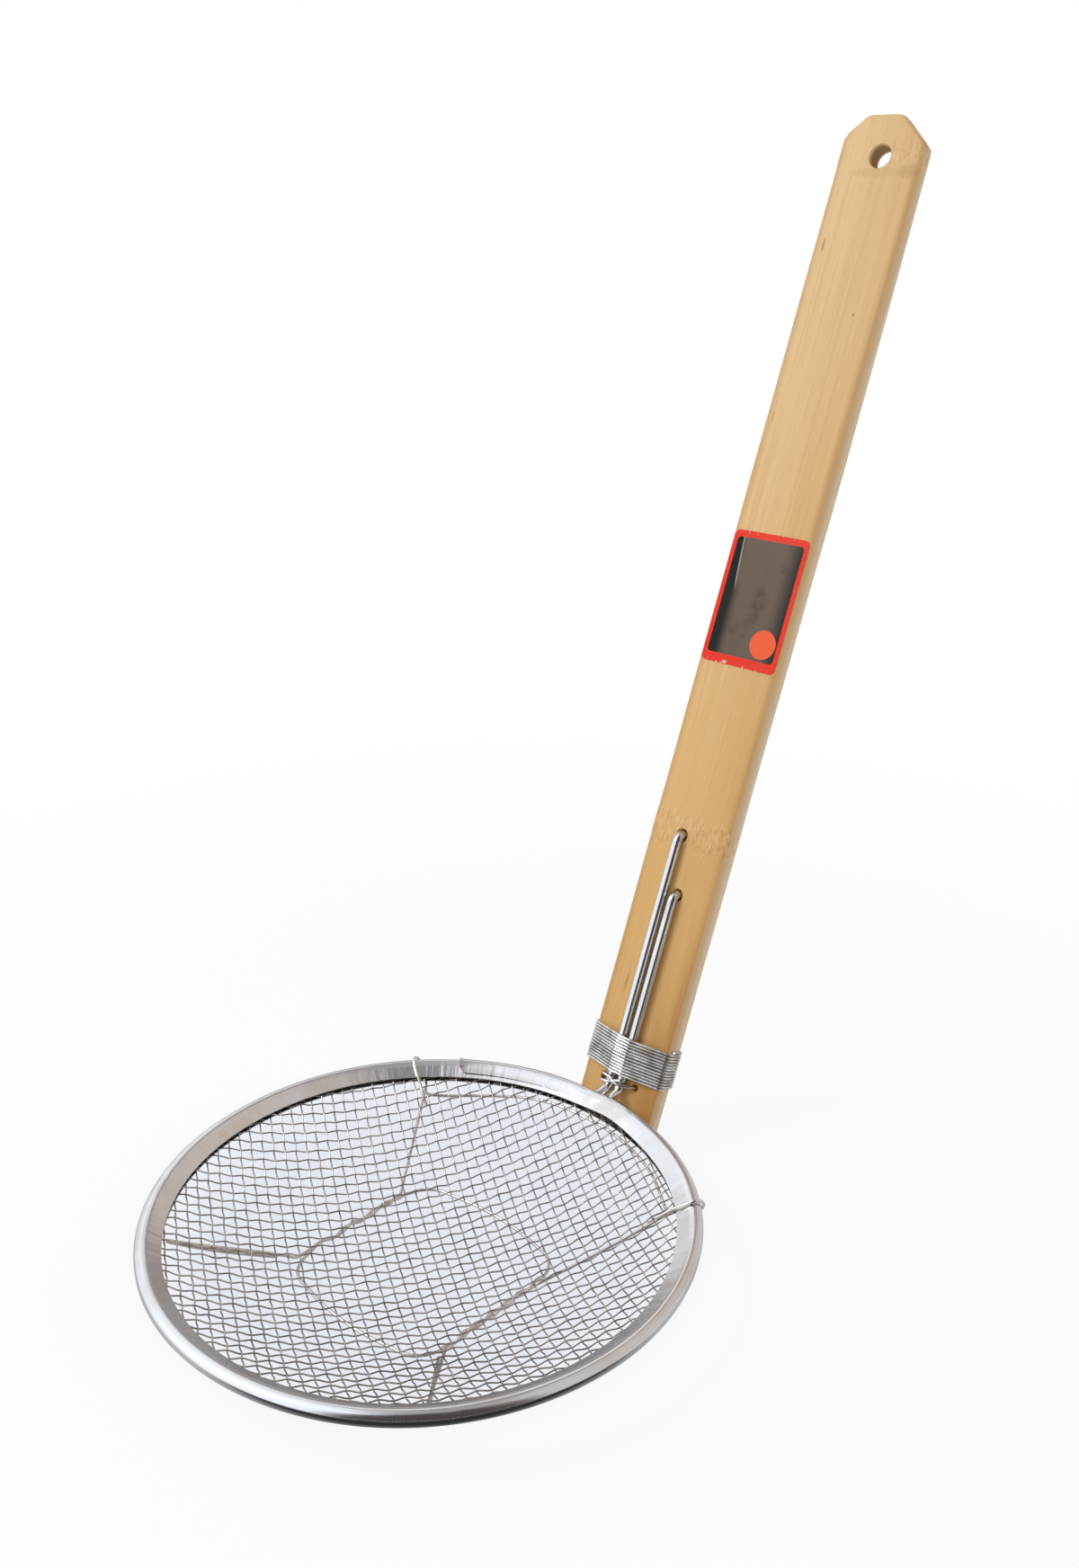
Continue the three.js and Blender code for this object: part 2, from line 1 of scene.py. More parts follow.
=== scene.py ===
"""Looks of a noodle strainer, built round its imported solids.

The strainer is a woven wire bowl folded into a steel rim. A bent hoop wire carries the rim and
lies on the face of a flat bamboo handle, bound and tied to it with finer wire. Sizes are in
millimetres, unless said otherwise, and become metres when a mesh is made.
"""

import logging
import math
from collections.abc import Mapping, Sequence
from dataclasses import dataclass
from enum import Enum

import bmesh
import bpy
import numpy as np
from mathutils import Matrix, Vector


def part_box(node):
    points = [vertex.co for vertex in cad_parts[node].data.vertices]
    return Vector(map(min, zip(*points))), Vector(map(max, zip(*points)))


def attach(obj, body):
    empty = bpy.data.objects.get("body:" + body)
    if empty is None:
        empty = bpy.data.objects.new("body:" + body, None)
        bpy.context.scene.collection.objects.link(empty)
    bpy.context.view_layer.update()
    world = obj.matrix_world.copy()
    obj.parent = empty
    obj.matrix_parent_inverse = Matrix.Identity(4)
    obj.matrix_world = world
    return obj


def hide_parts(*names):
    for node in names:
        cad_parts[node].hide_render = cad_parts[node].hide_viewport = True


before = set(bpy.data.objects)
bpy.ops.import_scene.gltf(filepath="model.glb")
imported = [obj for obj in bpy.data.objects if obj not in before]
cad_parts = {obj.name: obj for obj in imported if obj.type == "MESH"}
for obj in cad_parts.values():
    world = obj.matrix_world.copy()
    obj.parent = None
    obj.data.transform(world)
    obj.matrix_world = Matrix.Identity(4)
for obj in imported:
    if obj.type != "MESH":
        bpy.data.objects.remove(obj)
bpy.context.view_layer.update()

LOG = logging.getLogger("strainer")
MM = 0.001
BODY = "root"

Points = np.ndarray
Place = tuple[float, float, float]
Colour = tuple[float, float, float, float]
Mesh = bpy.types.Mesh
Piece = bpy.types.Object
Material = bpy.types.Material
Inputs = Mapping[str | int, object] | None

WHITE: Colour = (1.0, 1.0, 1.0, 1.0)
# The hanging hole's place, across and along the handle
HANGING_HOLE = (0.6, 339.2)
# The label's crease: its place across, at the middle, and its lean
LABEL_CREASE = (-9.1, 0.085)


def srgb(red: float, green: float, blue: float) -> Colour:
    """Turn a screen colour, from 0 to 255, into the linear colour that shaders take.

    Args:
        red: Red from 0 to 255.
        green: Green from 0 to 255.
        blue: Blue from 0 to 255.

    Returns:
        The linear colour.
    """
    seen = np.array((red, green, blue)) / 255
    linear = np.where(seen <= 0.04045, seen / 12.92, ((seen + 0.055) / 1.055) ** 2.4)
    return (*linear.tolist(), 1.0)


class Slot(Enum):
    """Material slots of the record."""

    BAMBOO = "bamboo"
    RIM = "rim_steel"
    WIRE = "wire_steel"
    MESH = "mesh_steel"
    LABEL = "label_paper"


class Side(Enum):
    """The two sides of the handle's plane, as the sign of Y."""

    LEFT = 1
    RIGHT = -1


class Family(Enum):
    """The two families of wires in the woven mesh."""

    WEFT = False
    WARP = True


# Lines and meshes


def smooth_line(points: Sequence, step: float) -> Points:
    """Draw a smooth line through points.

    Args:
        points: Places that the line passes through.
        step: Distance between the points of the result.

    Returns:
        Points along a centripetal Catmull-Rom line.
    """
    given = np.array([np.asarray(point, float) for point in points])
    ends = [2 * given[0] - given[1], *given, 2 * given[-1] - given[-2]]
    drawn = [given[0]]
    for p0, p1, p2, p3 in zip(ends, ends[1:], ends[2:], ends[3:]):
        spans = [max(np.linalg.norm(b - a), 1e-6) for a, b in ((p0, p1), (p1, p2), (p2, p3))]
        t1, t2, t3 = np.cumsum(np.sqrt(spans))
        count = max(1, round(np.linalg.norm(p2 - p1) / step))
        for t in np.linspace(t1, t2, count + 1)[1:]:
            a1 = p0 + (p1 - p0) * t / t1
            a2 = p1 + (p2 - p1) * (t - t1) / (t2 - t1)
            a3 = p2 + (p3 - p2) * (t - t2) / (t3 - t2)
            b1 = a1 + (a2 - a1) * t / t2
            b2 = a2 + (a3 - a2) * (t - t1) / (t3 - t1)
            drawn.append(b1 + (b2 - b1) * (t - t1) / (t2 - t1))
    return np.array(drawn)


def line_mesh(points: Points, closed: bool = False) -> Mesh:
    """Make a mesh of edges along a line.

    Args:
        points: Places along the line, in millimetres.
        closed: Whether the last point joins the first.

    Returns:
        The mesh, in metres.
    """
    count = len(points)
    edges = [(i, (i + 1) % count) for i in range(count if closed else count - 1)]
    mesh = bpy.data.meshes.new("line")
    mesh.from_pydata((np.asarray(points) * MM).tolist(), edges, [])
    return mesh


def face_mesh(name: str, points: Points, faces: Sequence[Sequence[int]]) -> Mesh:
    """Make a closed mesh and turn its faces outwards.

    Args:
        name: Name of the mesh.
        points: Corners, in millimetres.
        faces: Corner numbers of each face.

    Returns:
        The mesh, in metres.
    """
    mesh = bpy.data.meshes.new(name)
    mesh.from_pydata((np.asarray(points) * MM).tolist(), [], [list(face) for face in faces])
    shape = bmesh.new()
    shape.from_mesh(mesh)
    bmesh.ops.remove_doubles(shape, verts=shape.verts, dist=1e-8)
    bmesh.ops.recalc_face_normals(shape, faces=shape.faces)
    shape.to_mesh(mesh)
    shape.free()
    return mesh


def ring_faces(rings: int, size: int, closed: bool = False, start: int = 0) -> list[Sequence[int]]:
    """List the faces of a tube through rings of corners.

    Args:
        rings: Number of rings.
        size: Corners in a ring.
        closed: Whether the last ring joins the first, instead of a cap on each.
        start: Number of the first corner.

    Returns:
        Corner numbers of each face.
    """
    faces = []
    for i in range(rings if closed else rings - 1):
        here, after = start + i * size, start + (i + 1) % rings * size
        for j in range(size):
            k = (j + 1) % size
            faces.append((here + j, here + k, after + k, after + j))
    if not closed:
        last = start + (rings - 1) * size
        faces += [range(start, start + size), range(last, last + size)]
    return faces


def sheet_mesh(name: str, top: Points, bottom: Points) -> Mesh:
    """Make a closed sheet between two grids of points.

    Args:
        name: Name of the mesh.
        top: Grid of the upper side, rows by columns by 3, in millimetres.
        bottom: Grid of the lower side, of the same shape.

    Returns:
        The closed mesh, in metres.
    """
    rows, columns = top.shape[:2]
    under = rows * columns
    faces = []
    for i in range(rows - 1):
        for a in range(i * columns, (i + 1) * columns - 1):
            quad = (a, a + 1, a + columns + 1, a + columns)
            faces += [quad, [under + k for k in reversed(quad)]]
    border = [*range(columns), *range(2 * columns - 1, under, columns)]
    border += [*range(under - 2, under - columns - 1, -1), *range(under - 2 * columns, 0, -columns)]
    faces += [(b, a, under + a, under + b) for a, b in zip(border, border[1:] + border[:1])]
    return face_mesh(name, np.concatenate([top.reshape(-1, 3), bottom.reshape(-1, 3)]), faces)


def corner_places(mesh: Mesh) -> Points:
    """Give the places of a mesh's corners, in millimetres.

    Args:
        mesh: The mesh.

    Returns:
        A row for each corner.
    """
    places = np.empty(len(mesh.vertices) * 3, np.float32)
    mesh.vertices.foreach_get("co", places)
    return places.reshape(-1, 3) / MM


def store(mesh: Mesh, name: str, values: Points) -> None:
    """Store three numbers at each corner of a mesh, for patterns that follow them."""
    layer = mesh.attributes.new(name, "FLOAT_VECTOR", "POINT")
    layer.data.foreach_set("vector", values.astype(np.float32).ravel())


def placed(name: str, mesh: Mesh) -> Piece:
    """Put a mesh into the scene as an object at the origin.

    Args:
        name: Name of the object.
        mesh: Its mesh.

    Returns:
        The object.
    """
    piece = bpy.data.objects.new(name, mesh)
    bpy.context.scene.collection.objects.link(piece)
    return piece


def evaluated_mesh(piece: Piece) -> Mesh:
    """Give the plain mesh of an object with its modifiers done."""
    graph = bpy.context.evaluated_depsgraph_get()
    return bpy.data.meshes.new_from_object(
        piece.evaluated_get(graph), preserve_all_data_layers=True, depsgraph=graph
    )


def cut_away(blank: Mesh, cutter: Mesh) -> Mesh:
    """Cut one mesh out of another.

    Args:
        blank: Closed mesh to cut.
        cutter: Closed mesh of what is taken away.

    Returns:
        What is left of the blank, without corners that lie idle on an edge.
    """
    work, tool = placed("work", blank), placed("cutter", cutter)
    cut = work.modifiers.new("cut", "BOOLEAN")
    cut.operation = "DIFFERENCE"
    cut.solver = "EXACT"
    cut.object = tool
    left = evaluated_mesh(work)
    for spent in (work, tool):
        bpy.data.objects.remove(spent)
    shape = bmesh.new()
    shape.from_mesh(left)
    idle = [corner for corner in shape.verts if len(corner.link_edges) == 2]
    bmesh.ops.dissolve_verts(shape, verts=idle)
    shape.to_mesh(left)
    shape.free()
    return left


def shaded(mesh: Mesh, sharp: float) -> Mesh:
    """Shade a mesh smooth, except over edges sharper than an angle in degrees.

    Args:
        mesh: The mesh.
        sharp: The angle.

    Returns:
        The same mesh.
    """
    mesh.polygons.foreach_set("use_smooth", [True] * len(mesh.polygons))
    mesh.set_sharp_from_angle(angle=math.radians(sharp))
    return mesh


def finished(name: str, mesh: Mesh, slot: Slot, node: str) -> Piece:
    """Make a piece, tie it to its body, hide the solid it stands for, and report it.

    Args:
        name: Name of the piece.
        mesh: Its mesh, with its material.
        slot: Material slot of the record. Not used.
        node: Name of the solid that it stands for.

    Returns:
        The finished piece.
    """
    piece = placed(name, mesh)
    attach(piece, BODY)
    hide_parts(node)
    triangles = sum(len(face.vertices) - 2 for face in mesh.polygons)
    LOG.info("%s: %d triangles, for %s", name, triangles, node)
    return piece


def dressed(name: str, mesh: Mesh, finish: Material, slot: Slot, node: str) -> Piece:
    """Make a finished piece of a mesh that has no material yet.

    Args:
        name: Name of the piece.
        mesh: Its mesh.
        finish: Its material.
        slot: Material slot of the record.
        node: Name of the solid that it stands for.

    Returns:
        The finished piece.
    """
    mesh.name = name
    mesh.materials.clear()
    mesh.materials.append(finish)
    return finished(name, mesh, slot, node)


# Node trees


class Value:
    """A value in a node tree, which sums can be done with."""

    def __init__(self, nodes: "Nodes", socket: bpy.types.NodeSocket) -> None:
        """Take the tree's adder and the socket that gives the value."""
        self.nodes = nodes
        self.socket = socket

    def __add__(self, other: object) -> "Value":
        """Add a number."""
        return self.nodes.maths("ADD", self, other)

    def __sub__(self, other: object) -> "Value":
        """Take a number off."""
        return self.nodes.maths("SUBTRACT", self, other)

    def __rsub__(self, other: object) -> "Value":
        """Take this off a number."""
        return self.nodes.maths("SUBTRACT", other, self)

    def __mul__(self, other: object) -> "Value":
        """Multiply by a number."""
        return self.nodes.maths("MULTIPLY", self, other)

    def __truediv__(self, other: object) -> "Value":
        """Divide by a number."""
        return self.nodes.maths("DIVIDE", self, other)

    def __abs__(self) -> "Value":
        """Leave off the sign."""
        return self.nodes.maths("ABSOLUTE", self)


class Nodes:
    """Adds nodes to one tree and links them."""

    def __init__(self, tree: bpy.types.NodeTree) -> None:
        """Take the tree to work on, and empty it."""
        self.tree = tree
        tree.nodes.clear()

    def node(self, kind: str, inputs: Inputs = None, **settings: object) -> bpy.types.Node:
        """Add a node.

        Args:
            kind: Blender's name for the kind of node.
            inputs: Values for its inputs, by name or number.
            settings: Values for its own settings, by name.

        Returns:
            The node.
        """
        node = self.tree.nodes.new(kind)
        for key, value in settings.items():
            setattr(node, key, value)
        for key, value in (inputs or {}).items():
            if isinstance(value, Value):
                self.tree.links.new(value.socket, node.inputs[key])
            else:
                node.inputs[key].default_value = value
        return node

    def add(
        self, kind: str, inputs: Inputs = None, output: str | int = 0, **settings: object
    ) -> Value:
        """Add a node and give one of its outputs."""
        return Value(self, self.node(kind, inputs, **settings).outputs[output])

    def outputs(self, kind: str) -> dict[str, Value]:
        """Add a node and give all its outputs by name."""
        return {socket.name: Value(self, socket) for socket in self.node(kind).outputs}

    def attribute(self, name: str) -> Value:
        """Give the three numbers that are stored at a place."""
        return self.add("ShaderNodeAttribute", None, "Vector", attribute_name=name)

    def maths(self, operation: str, *values: object) -> Value:
        """Give the result of a sum with numbers."""
        return self.add("ShaderNodeMath", dict(enumerate(values)), operation=operation)

    def vector(self, operation: str, *values: object, output: str | int = 0) -> Value:
        """Give the result of a sum with vectors."""
        inputs = dict(enumerate(values))
        return self.add("ShaderNodeVectorMath", inputs, output, operation=operation)

    def scaled(self, vector: Value, factor: object) -> Value:
        """Scale a vector by a number."""
        return self.add("ShaderNodeVectorMath", {0: vector, "Scale": factor}, operation="SCALE")

    def split(self, vector: Value) -> list[Value]:
        """Split a vector into its three numbers."""
        node = self.node("ShaderNodeSeparateXYZ", {"Vector": vector})
        return [Value(self, socket) for socket in node.outputs]

    def joined(self, x: object = 0.0, y: object = 0.0, z: object = 0.0) -> Value:
        """Join three numbers into a vector."""
        return self.add("ShaderNodeCombineXYZ", {"X": x, "Y": y, "Z": z})

    def length(self, x: Value, y: Value) -> Value:
        """Give the length of a line from its two sides."""
        return self.maths("SQRT", x * x + y * y)

    def noise(
        self, vector: Value, scale: float, detail: float, seed: object, output: str = "Fac"
    ) -> Value:
        """Give a noise over a vector, with a fixed seed."""
        inputs = {"Vector": vector, "W": seed, "Scale": scale, "Detail": detail}
        return self.add("ShaderNodeTexNoise", inputs, output, noise_dimensions="4D")

    def rising(self, value: Value, low: float, high: float) -> Value:
        """Rise smoothly from 0 at low to 1 at high."""
        inputs = {"Value": value, "From Min": low, "From Max": high}
        return self.add("ShaderNodeMapRange", inputs, interpolation_type="SMOOTHSTEP")

    def blend(self, share: Value, first: object, second: object) -> Value:
        """Blend from one colour to another."""
        return self.add("ShaderNodeMix", {0: share, 6: first, 7: second}, 2, data_type="RGBA")

    def layered(self, colour: object, layers: Sequence[tuple[Value, object]]) -> object:
        """Lay colours over a first one, each by its share.

        Args:
            colour: The first colour.
            layers: Share and colour of each layer.

        Returns:
            The colour on top.
        """
        for share, tone in layers:
            colour = self.blend(share, colour, tone)
        return colour

    def between(self, share: object, first: object, second: object) -> Value:
        """Blend from one number to another."""
        return self.add("ShaderNodeMix", {0: share, 2: first, 3: second}, data_type="FLOAT")

    def bump(self, height: Value, distance: float, on: Value | None = None) -> Value:
        """Turn a height into a bumped normal, on top of another where one is given."""
        under = {} if on is None else {"Normal": on}
        return self.add("ShaderNodeBump", {"Height": height, "Distance": distance, **under})


def emptied(block: Material | bpy.types.World) -> Nodes:
    """Give a material or the surroundings an empty node tree, and its adder."""
    block.use_nodes = True
    return Nodes(block.node_tree)


class GrowTree:
    """A Geometry Nodes tree with named inputs for its sizes."""

    title = ""
    sizes: tuple[tuple[str, str], ...] = ()

    def __init__(self) -> None:
        """Make the tree with its inputs and fill it."""
        self.tree = bpy.data.node_groups.new(self.title, "GeometryNodeTree")
        face = self.tree.interface
        for name, kind in (("Geometry", "Geometry"), *self.sizes):
            face.new_socket(name, in_out="INPUT", socket_type="NodeSocket" + kind)
        face.new_socket("Geometry", in_out="OUTPUT", socket_type="NodeSocketGeometry")
        self.nodes = nodes = Nodes(self.tree)
        self.given = nodes.outputs("NodeGroupInput")
        whole = nodes.add("GeometryNodeRealizeInstances", {"Geometry": self.fill()})
        inputs = {"Geometry": whole, "Material": self.given["Finish"]}
        nodes.node("NodeGroupOutput", {"Geometry": nodes.add("GeometryNodeSetMaterial", inputs)})

    def fill(self) -> Value:
        """Give the geometry that the tree makes."""
        raise NotImplementedError

    def round_wire(self, curve: Value) -> Value:
        """Draw a round wire along a curve, with closed ends and smooth shading.

        Args:
            curve: Middle of the wire.

        Returns:
            The wire's surface.
        """
        nodes, given = self.nodes, self.given
        outline = nodes.add(
            "GeometryNodeCurvePrimitiveCircle",
            {"Resolution": given["Sides"], "Radius": given["Wire diameter"] * 0.5},
        )
        wire = nodes.add(
            "GeometryNodeCurveToMesh",
            {"Curve": curve, "Profile Curve": outline, "Fill Caps": True},
        )
        return nodes.add("GeometryNodeSetShadeSmooth", {"Geometry": wire})

    def grow(self, name: str, seed: Mesh, sizes: Mapping[str, object]) -> Mesh:
        """Run the tree on a mesh.

        Args:
            name: Name of the result.
            seed: Mesh that the tree starts from.
            sizes: Values for the tree's inputs, by name.

        Returns:
            The result as a plain mesh.
        """
        start = placed(name + "_start", seed)
        grown = start.modifiers.new("grow", "NODES")
        grown.node_group = self.tree
        for item in self.tree.interface.items_tree:
            if item.item_type == "SOCKET" and item.in_out == "INPUT" and item.name in sizes:
                grown[item.identifier] = sizes[item.name]
        mesh = evaluated_mesh(start)
        mesh.name = name
        start.modifiers.remove(grown)
        bpy.data.objects.remove(start)
        return mesh


class WireTree(GrowTree):
    """Draws a round wire along a line of edges."""

    title = "wire along a line"
    sizes = (("Wire diameter", "Float"), ("Sides", "Int"), ("Finish", "Material"))

    def fill(self) -> Value:
        """Turn the edges into a curve and draw the wire along it."""
        edges = {"Mesh": self.given["Geometry"]}
        return self.round_wire(self.nodes.add("GeometryNodeMeshToCurve", edges))

    def piece(
        self,
        name: str,
        line: Points,
        diameter: float,
        sides: int,
        finish: Material,
        node: str,
        closed: bool = False,
    ) -> Piece:
        """Make a piece of round wire.

        Args:
            name: Name of the piece.
            line: Middle of the wire.
            diameter: Diameter of the wire.
            sides: Number of facets round it.
            finish: Its material.
            node: Name of the solid that it stands for.
            closed: Whether it is a closed loop.

        Returns:
            The finished piece.
        """
        sizes = {"Wire diameter": diameter * MM, "Sides": sides, "Finish": finish}
        return finished(name, self.grow(name, line_mesh(line, closed), sizes), Slot.WIRE, node)


class WeaveTree(GrowTree):
    """Lays one family of mesh wires over the bowl, crimped over and under the other family."""

    title = "woven wires"
    sizes = (
        *((name, "Int") for name in ("Half count", "Steps", "Sides")),
        ("Warp family", "Bool"),
        ("Finish", "Material"),
        *(
            (name, "Float")
            for name in (
                "Wire spacing", "Crossing spacing", "Wire diameter", "Crimp", "Turn",
                "Draw in", "Wander", "Seed", "Weft bow", "Weft skew", "Warp bow",
                "Warp skew", "Bowl axis", "Bowl floor", "Bowl depth", "Bowl curve",
                "Bottom radius", "Rim inside", "Trim radius",
            )
        ),
    )
    wander_scale = 55.0

    def fill(self) -> Value:
        """Lay straight wires side by side, press them into the bowl, trim and thicken them.

        Returns:
            The woven wires.
        """
        nodes, given = self.nodes, self.given
        flat = self.straight_wires()
        along, across, _ = nodes.split(nodes.add("GeometryNodeInputPosition"))
        crossing = along / given["Crossing spacing"]
        phase = crossing + across / given["Wire spacing"] + given["Warp family"]
        lift = nodes.maths("COSINE", phase * math.pi) * given["Crimp"]
        place = self.pressed(self.warped_plan(along, across), lift)
        laid = nodes.add("GeometryNodeSetPosition", {"Geometry": flat, "Position": place})
        x, y, _ = nodes.split(nodes.add("GeometryNodeInputPosition"))
        away = nodes.vector("LENGTH", nodes.joined(x - given["Bowl axis"], y), output="Value")
        outside = nodes.maths("GREATER_THAN", away, given["Trim radius"])
        trimmed = nodes.add("GeometryNodeDeleteGeometry", {"Geometry": laid, "Selection": outside})
        return self.round_wire(trimmed)

    def straight_wires(self) -> Value:
        """Lay straight wires along X, side by side along Y.

        Returns:
            The wires' middle lines.
        """
        nodes, given = self.nodes, self.given
        half, spacing = given["Half count"], given["Wire spacing"]
        far = half * given["Crossing spacing"]
        line = nodes.add(
            "GeometryNodeCurvePrimitiveLine",
            {"Start": nodes.joined(far * -1.0), "End": nodes.joined(far)},
        )
        both = half * 2.0
        count = both * given["Steps"] + 1.0
        wire = nodes.add("GeometryNodeResampleCurve", {"Curve": line, "Count": count})
        row = nodes.add(
            "GeometryNodeMeshLine",
            {
                "Count": both + 1.0,
                "Start Location": nodes.joined(0.0, half * spacing * -1.0),
                "Offset": nodes.joined(0.0, spacing),
            },
        )
        wires = nodes.add("GeometryNodeInstanceOnPoints", {"Points": row, "Instance": wire})
        return nodes.add("GeometryNodeRealizeInstances", {"Geometry": wires})

    def warped_plan(self, along: Value, across: Value) -> Value:
        """Give a wire point's place seen from above, bowed, skewed, wandering and turned.

        Args:
            along: Place along the wire.
            across: Place of the wire in its row.

        Returns:
            The place as a vector.
        """
        nodes, given = self.nodes, self.given
        ways = {"False": nodes.joined(along, across), "True": nodes.joined(across, along)}
        pick = {"Switch": given["Warp family"], **ways}
        square = nodes.add("GeometryNodeSwitch", pick, input_type="VECTOR")
        drift = nodes.noise(square, self.wander_scale, 2.0, given["Seed"], "Color")
        drift = nodes.scaled(nodes.vector("SUBTRACT", drift, (0.5, 0.5, 0.5)), given["Wander"])
        a, b, _ = nodes.split(nodes.vector("ADD", square, drift))
        aside = a + (b * given["Warp bow"] + given["Warp skew"]) * b
        up = b + (a * given["Weft bow"] + given["Weft skew"]) * a
        tight = 1.0 - (a * a + b * b) * given["Draw in"]
        return nodes.add(
            "ShaderNodeVectorRotate",
            {"Vector": nodes.scaled(nodes.joined(aside, up), tight), "Angle": given["Turn"]},
            rotation_type="Z_AXIS",
        )

    def pressed(self, plan: Value, lift: Value) -> Value:
        """Put a point of the plan on the bowl, lifted off it along its normal.

        Args:
            plan: Place seen from above.
            lift: Distance off the bowl.

        Returns:
            The place in the frame.
        """
        nodes, given = self.nodes, self.given
        bottom, depth, curve = (given[n] for n in ("Bottom radius", "Bowl depth", "Bowl curve"))
        span = given["Rim inside"] - bottom
        past = nodes.vector("LENGTH", plan, output="Value") - bottom
        share = nodes.maths("MAXIMUM", past / span, 0.0)
        inside = nodes.maths("LESS_THAN", share, 1.0)
        share = nodes.maths("MINIMUM", share, 1.0)
        height = nodes.maths("POWER", share, curve) * depth + given["Bowl floor"]
        slope = nodes.maths("POWER", share, curve - 1.0) * (depth * curve / span) * inside
        outward = nodes.scaled(nodes.vector("NORMALIZE", plan), slope * -1.0)
        normal = nodes.vector("NORMALIZE", nodes.vector("ADD", outward, (0.0, 0.0, 1.0)))
        x, y, _ = nodes.split(plan)
        seat = nodes.joined(x + given["Bowl axis"], y, height)
        return nodes.vector("ADD", seat, nodes.scaled(normal, lift))


# Finishes


@dataclass(frozen=True)
class Ramp:
    """A smooth rise: the value where it starts, the value where it ends, and its height there."""

    start: float
    end: float
    full: float = 1.0

    def of(self, value: Value) -> Value:
        """Give the rise at a value."""
        return value.nodes.rising(value, self.start, self.end) * self.full


@dataclass(frozen=True)
class Grain:
    """A noise on a piece: marks per millimetre each way, fineness and seed."""

    marks: Place
    detail: float
    seed: float

    def of(self, place: Value) -> Value:
        """Give the noise at a place."""
        spread = place.nodes.vector("MULTIPLY", place, self.marks)
        return place.nodes.noise(spread, 1.0, self.detail, self.seed)


@dataclass(frozen=True)
class Fleck:
    """An oval fleck or painted shade on the handle: middle and half sizes across, along, strength.
    """

    across: float
    along: float
    half_width: float
    half_length: float
    strength: float

    def of(self, across: Value, along: Value) -> Value:
        """Give the fleck's share at a place."""
        x, y = (across - self.across) / self.half_width, (along - self.along) / self.half_length
        return Ramp(1.0, 0.1, self.strength).of(x * x + y * y)


@dataclass(frozen=True)
class Knot:
    """A knot of the bamboo: height, half length of its flecks, and where they fade out across."""

    along: float
    half_length: float
    fade: Ramp


class Finish:
    """What a piece is made of."""

    name: str

    def surface(self, nodes: Nodes) -> Mapping[str, object]:
        """Give the inputs of the surface shader, by name."""
        raise NotImplementedError

    def material(self) -> Material:
        """Make the material.

        Returns:
            The material.
        """
        material = bpy.data.materials.new(self.name)
        nodes = emptied(material)
        shader = nodes.add("ShaderNodeBsdfPrincipled", self.surface(nodes))
        nodes.node("ShaderNodeOutputMaterial", {"Surface": shader})
        return material


@dataclass(frozen=True)
class SteelFinish(Finish):
    """Stainless steel, drawn or rolled, with uneven gloss and a faint tarnish.

    Attributes:
        patch: Tarnish patches per metre.
        ripple, ripples: Height of the ripples in metres, and their number per metre.
        wrinkle: Height in metres of the wrinkles across a folded strip.
        scuffs: Scuffs in a patch, and the roughness that they add.
        creases: Noise of the wrinkles along the strip.
        flat_part: Radius at which the wrinkles begin, on the strip's flat part.
        wrinkle_tarnish: Share of the wrinkles in the tarnish.
    """

    name: str
    bright: Colour
    dull: Colour
    roughness: tuple[float, float]
    patch: float
    ripple: float
    ripples: float
    wrinkle: float = 0.0
    tarnish: Ramp = Ramp(0.4, 0.68)
    scuffs: tuple[float, float] = (9.0, 0.08)
    creases: Grain = Grain((0.3, 0.3, 0.06), 3.0, 13.0)
    flat_part: Ramp = Ramp(86.4, 85.0)
    wrinkle_tarnish: float = 0.4

    def surface(self, nodes: Nodes) -> Mapping[str, object]:
        """Give the inputs of the surface shader, by name.

        Args:
            nodes: Adder for the material's nodes.

        Returns:
            A value for each input.
        """
        place = nodes.add("ShaderNodeTexCoord", None, "Object")
        many, rougher = self.scuffs
        worn = self.tarnish.of(nodes.noise(place, self.patch, 3.0, 1.0))
        scuff = nodes.noise(place, self.patch * many, 2.0, 2.0)
        normal = nodes.bump(nodes.noise(place, self.ripples, 2.0, 3.0), self.ripple)
        if self.wrinkle:
            strip = nodes.attribute("strip")
            wrinkles = self.creases.of(strip) * self.flat_part.of(nodes.split(strip)[2])
            normal = nodes.bump(wrinkles, self.wrinkle, normal)
            worn = nodes.between(self.wrinkle_tarnish, worn, wrinkles)
        return {
            "Metallic": 1.0,
            "Base Color": nodes.blend(worn, self.bright, self.dull),
            "Roughness": nodes.between(worn, *self.roughness) + scuff * rougher,
            "Normal": normal,
        }


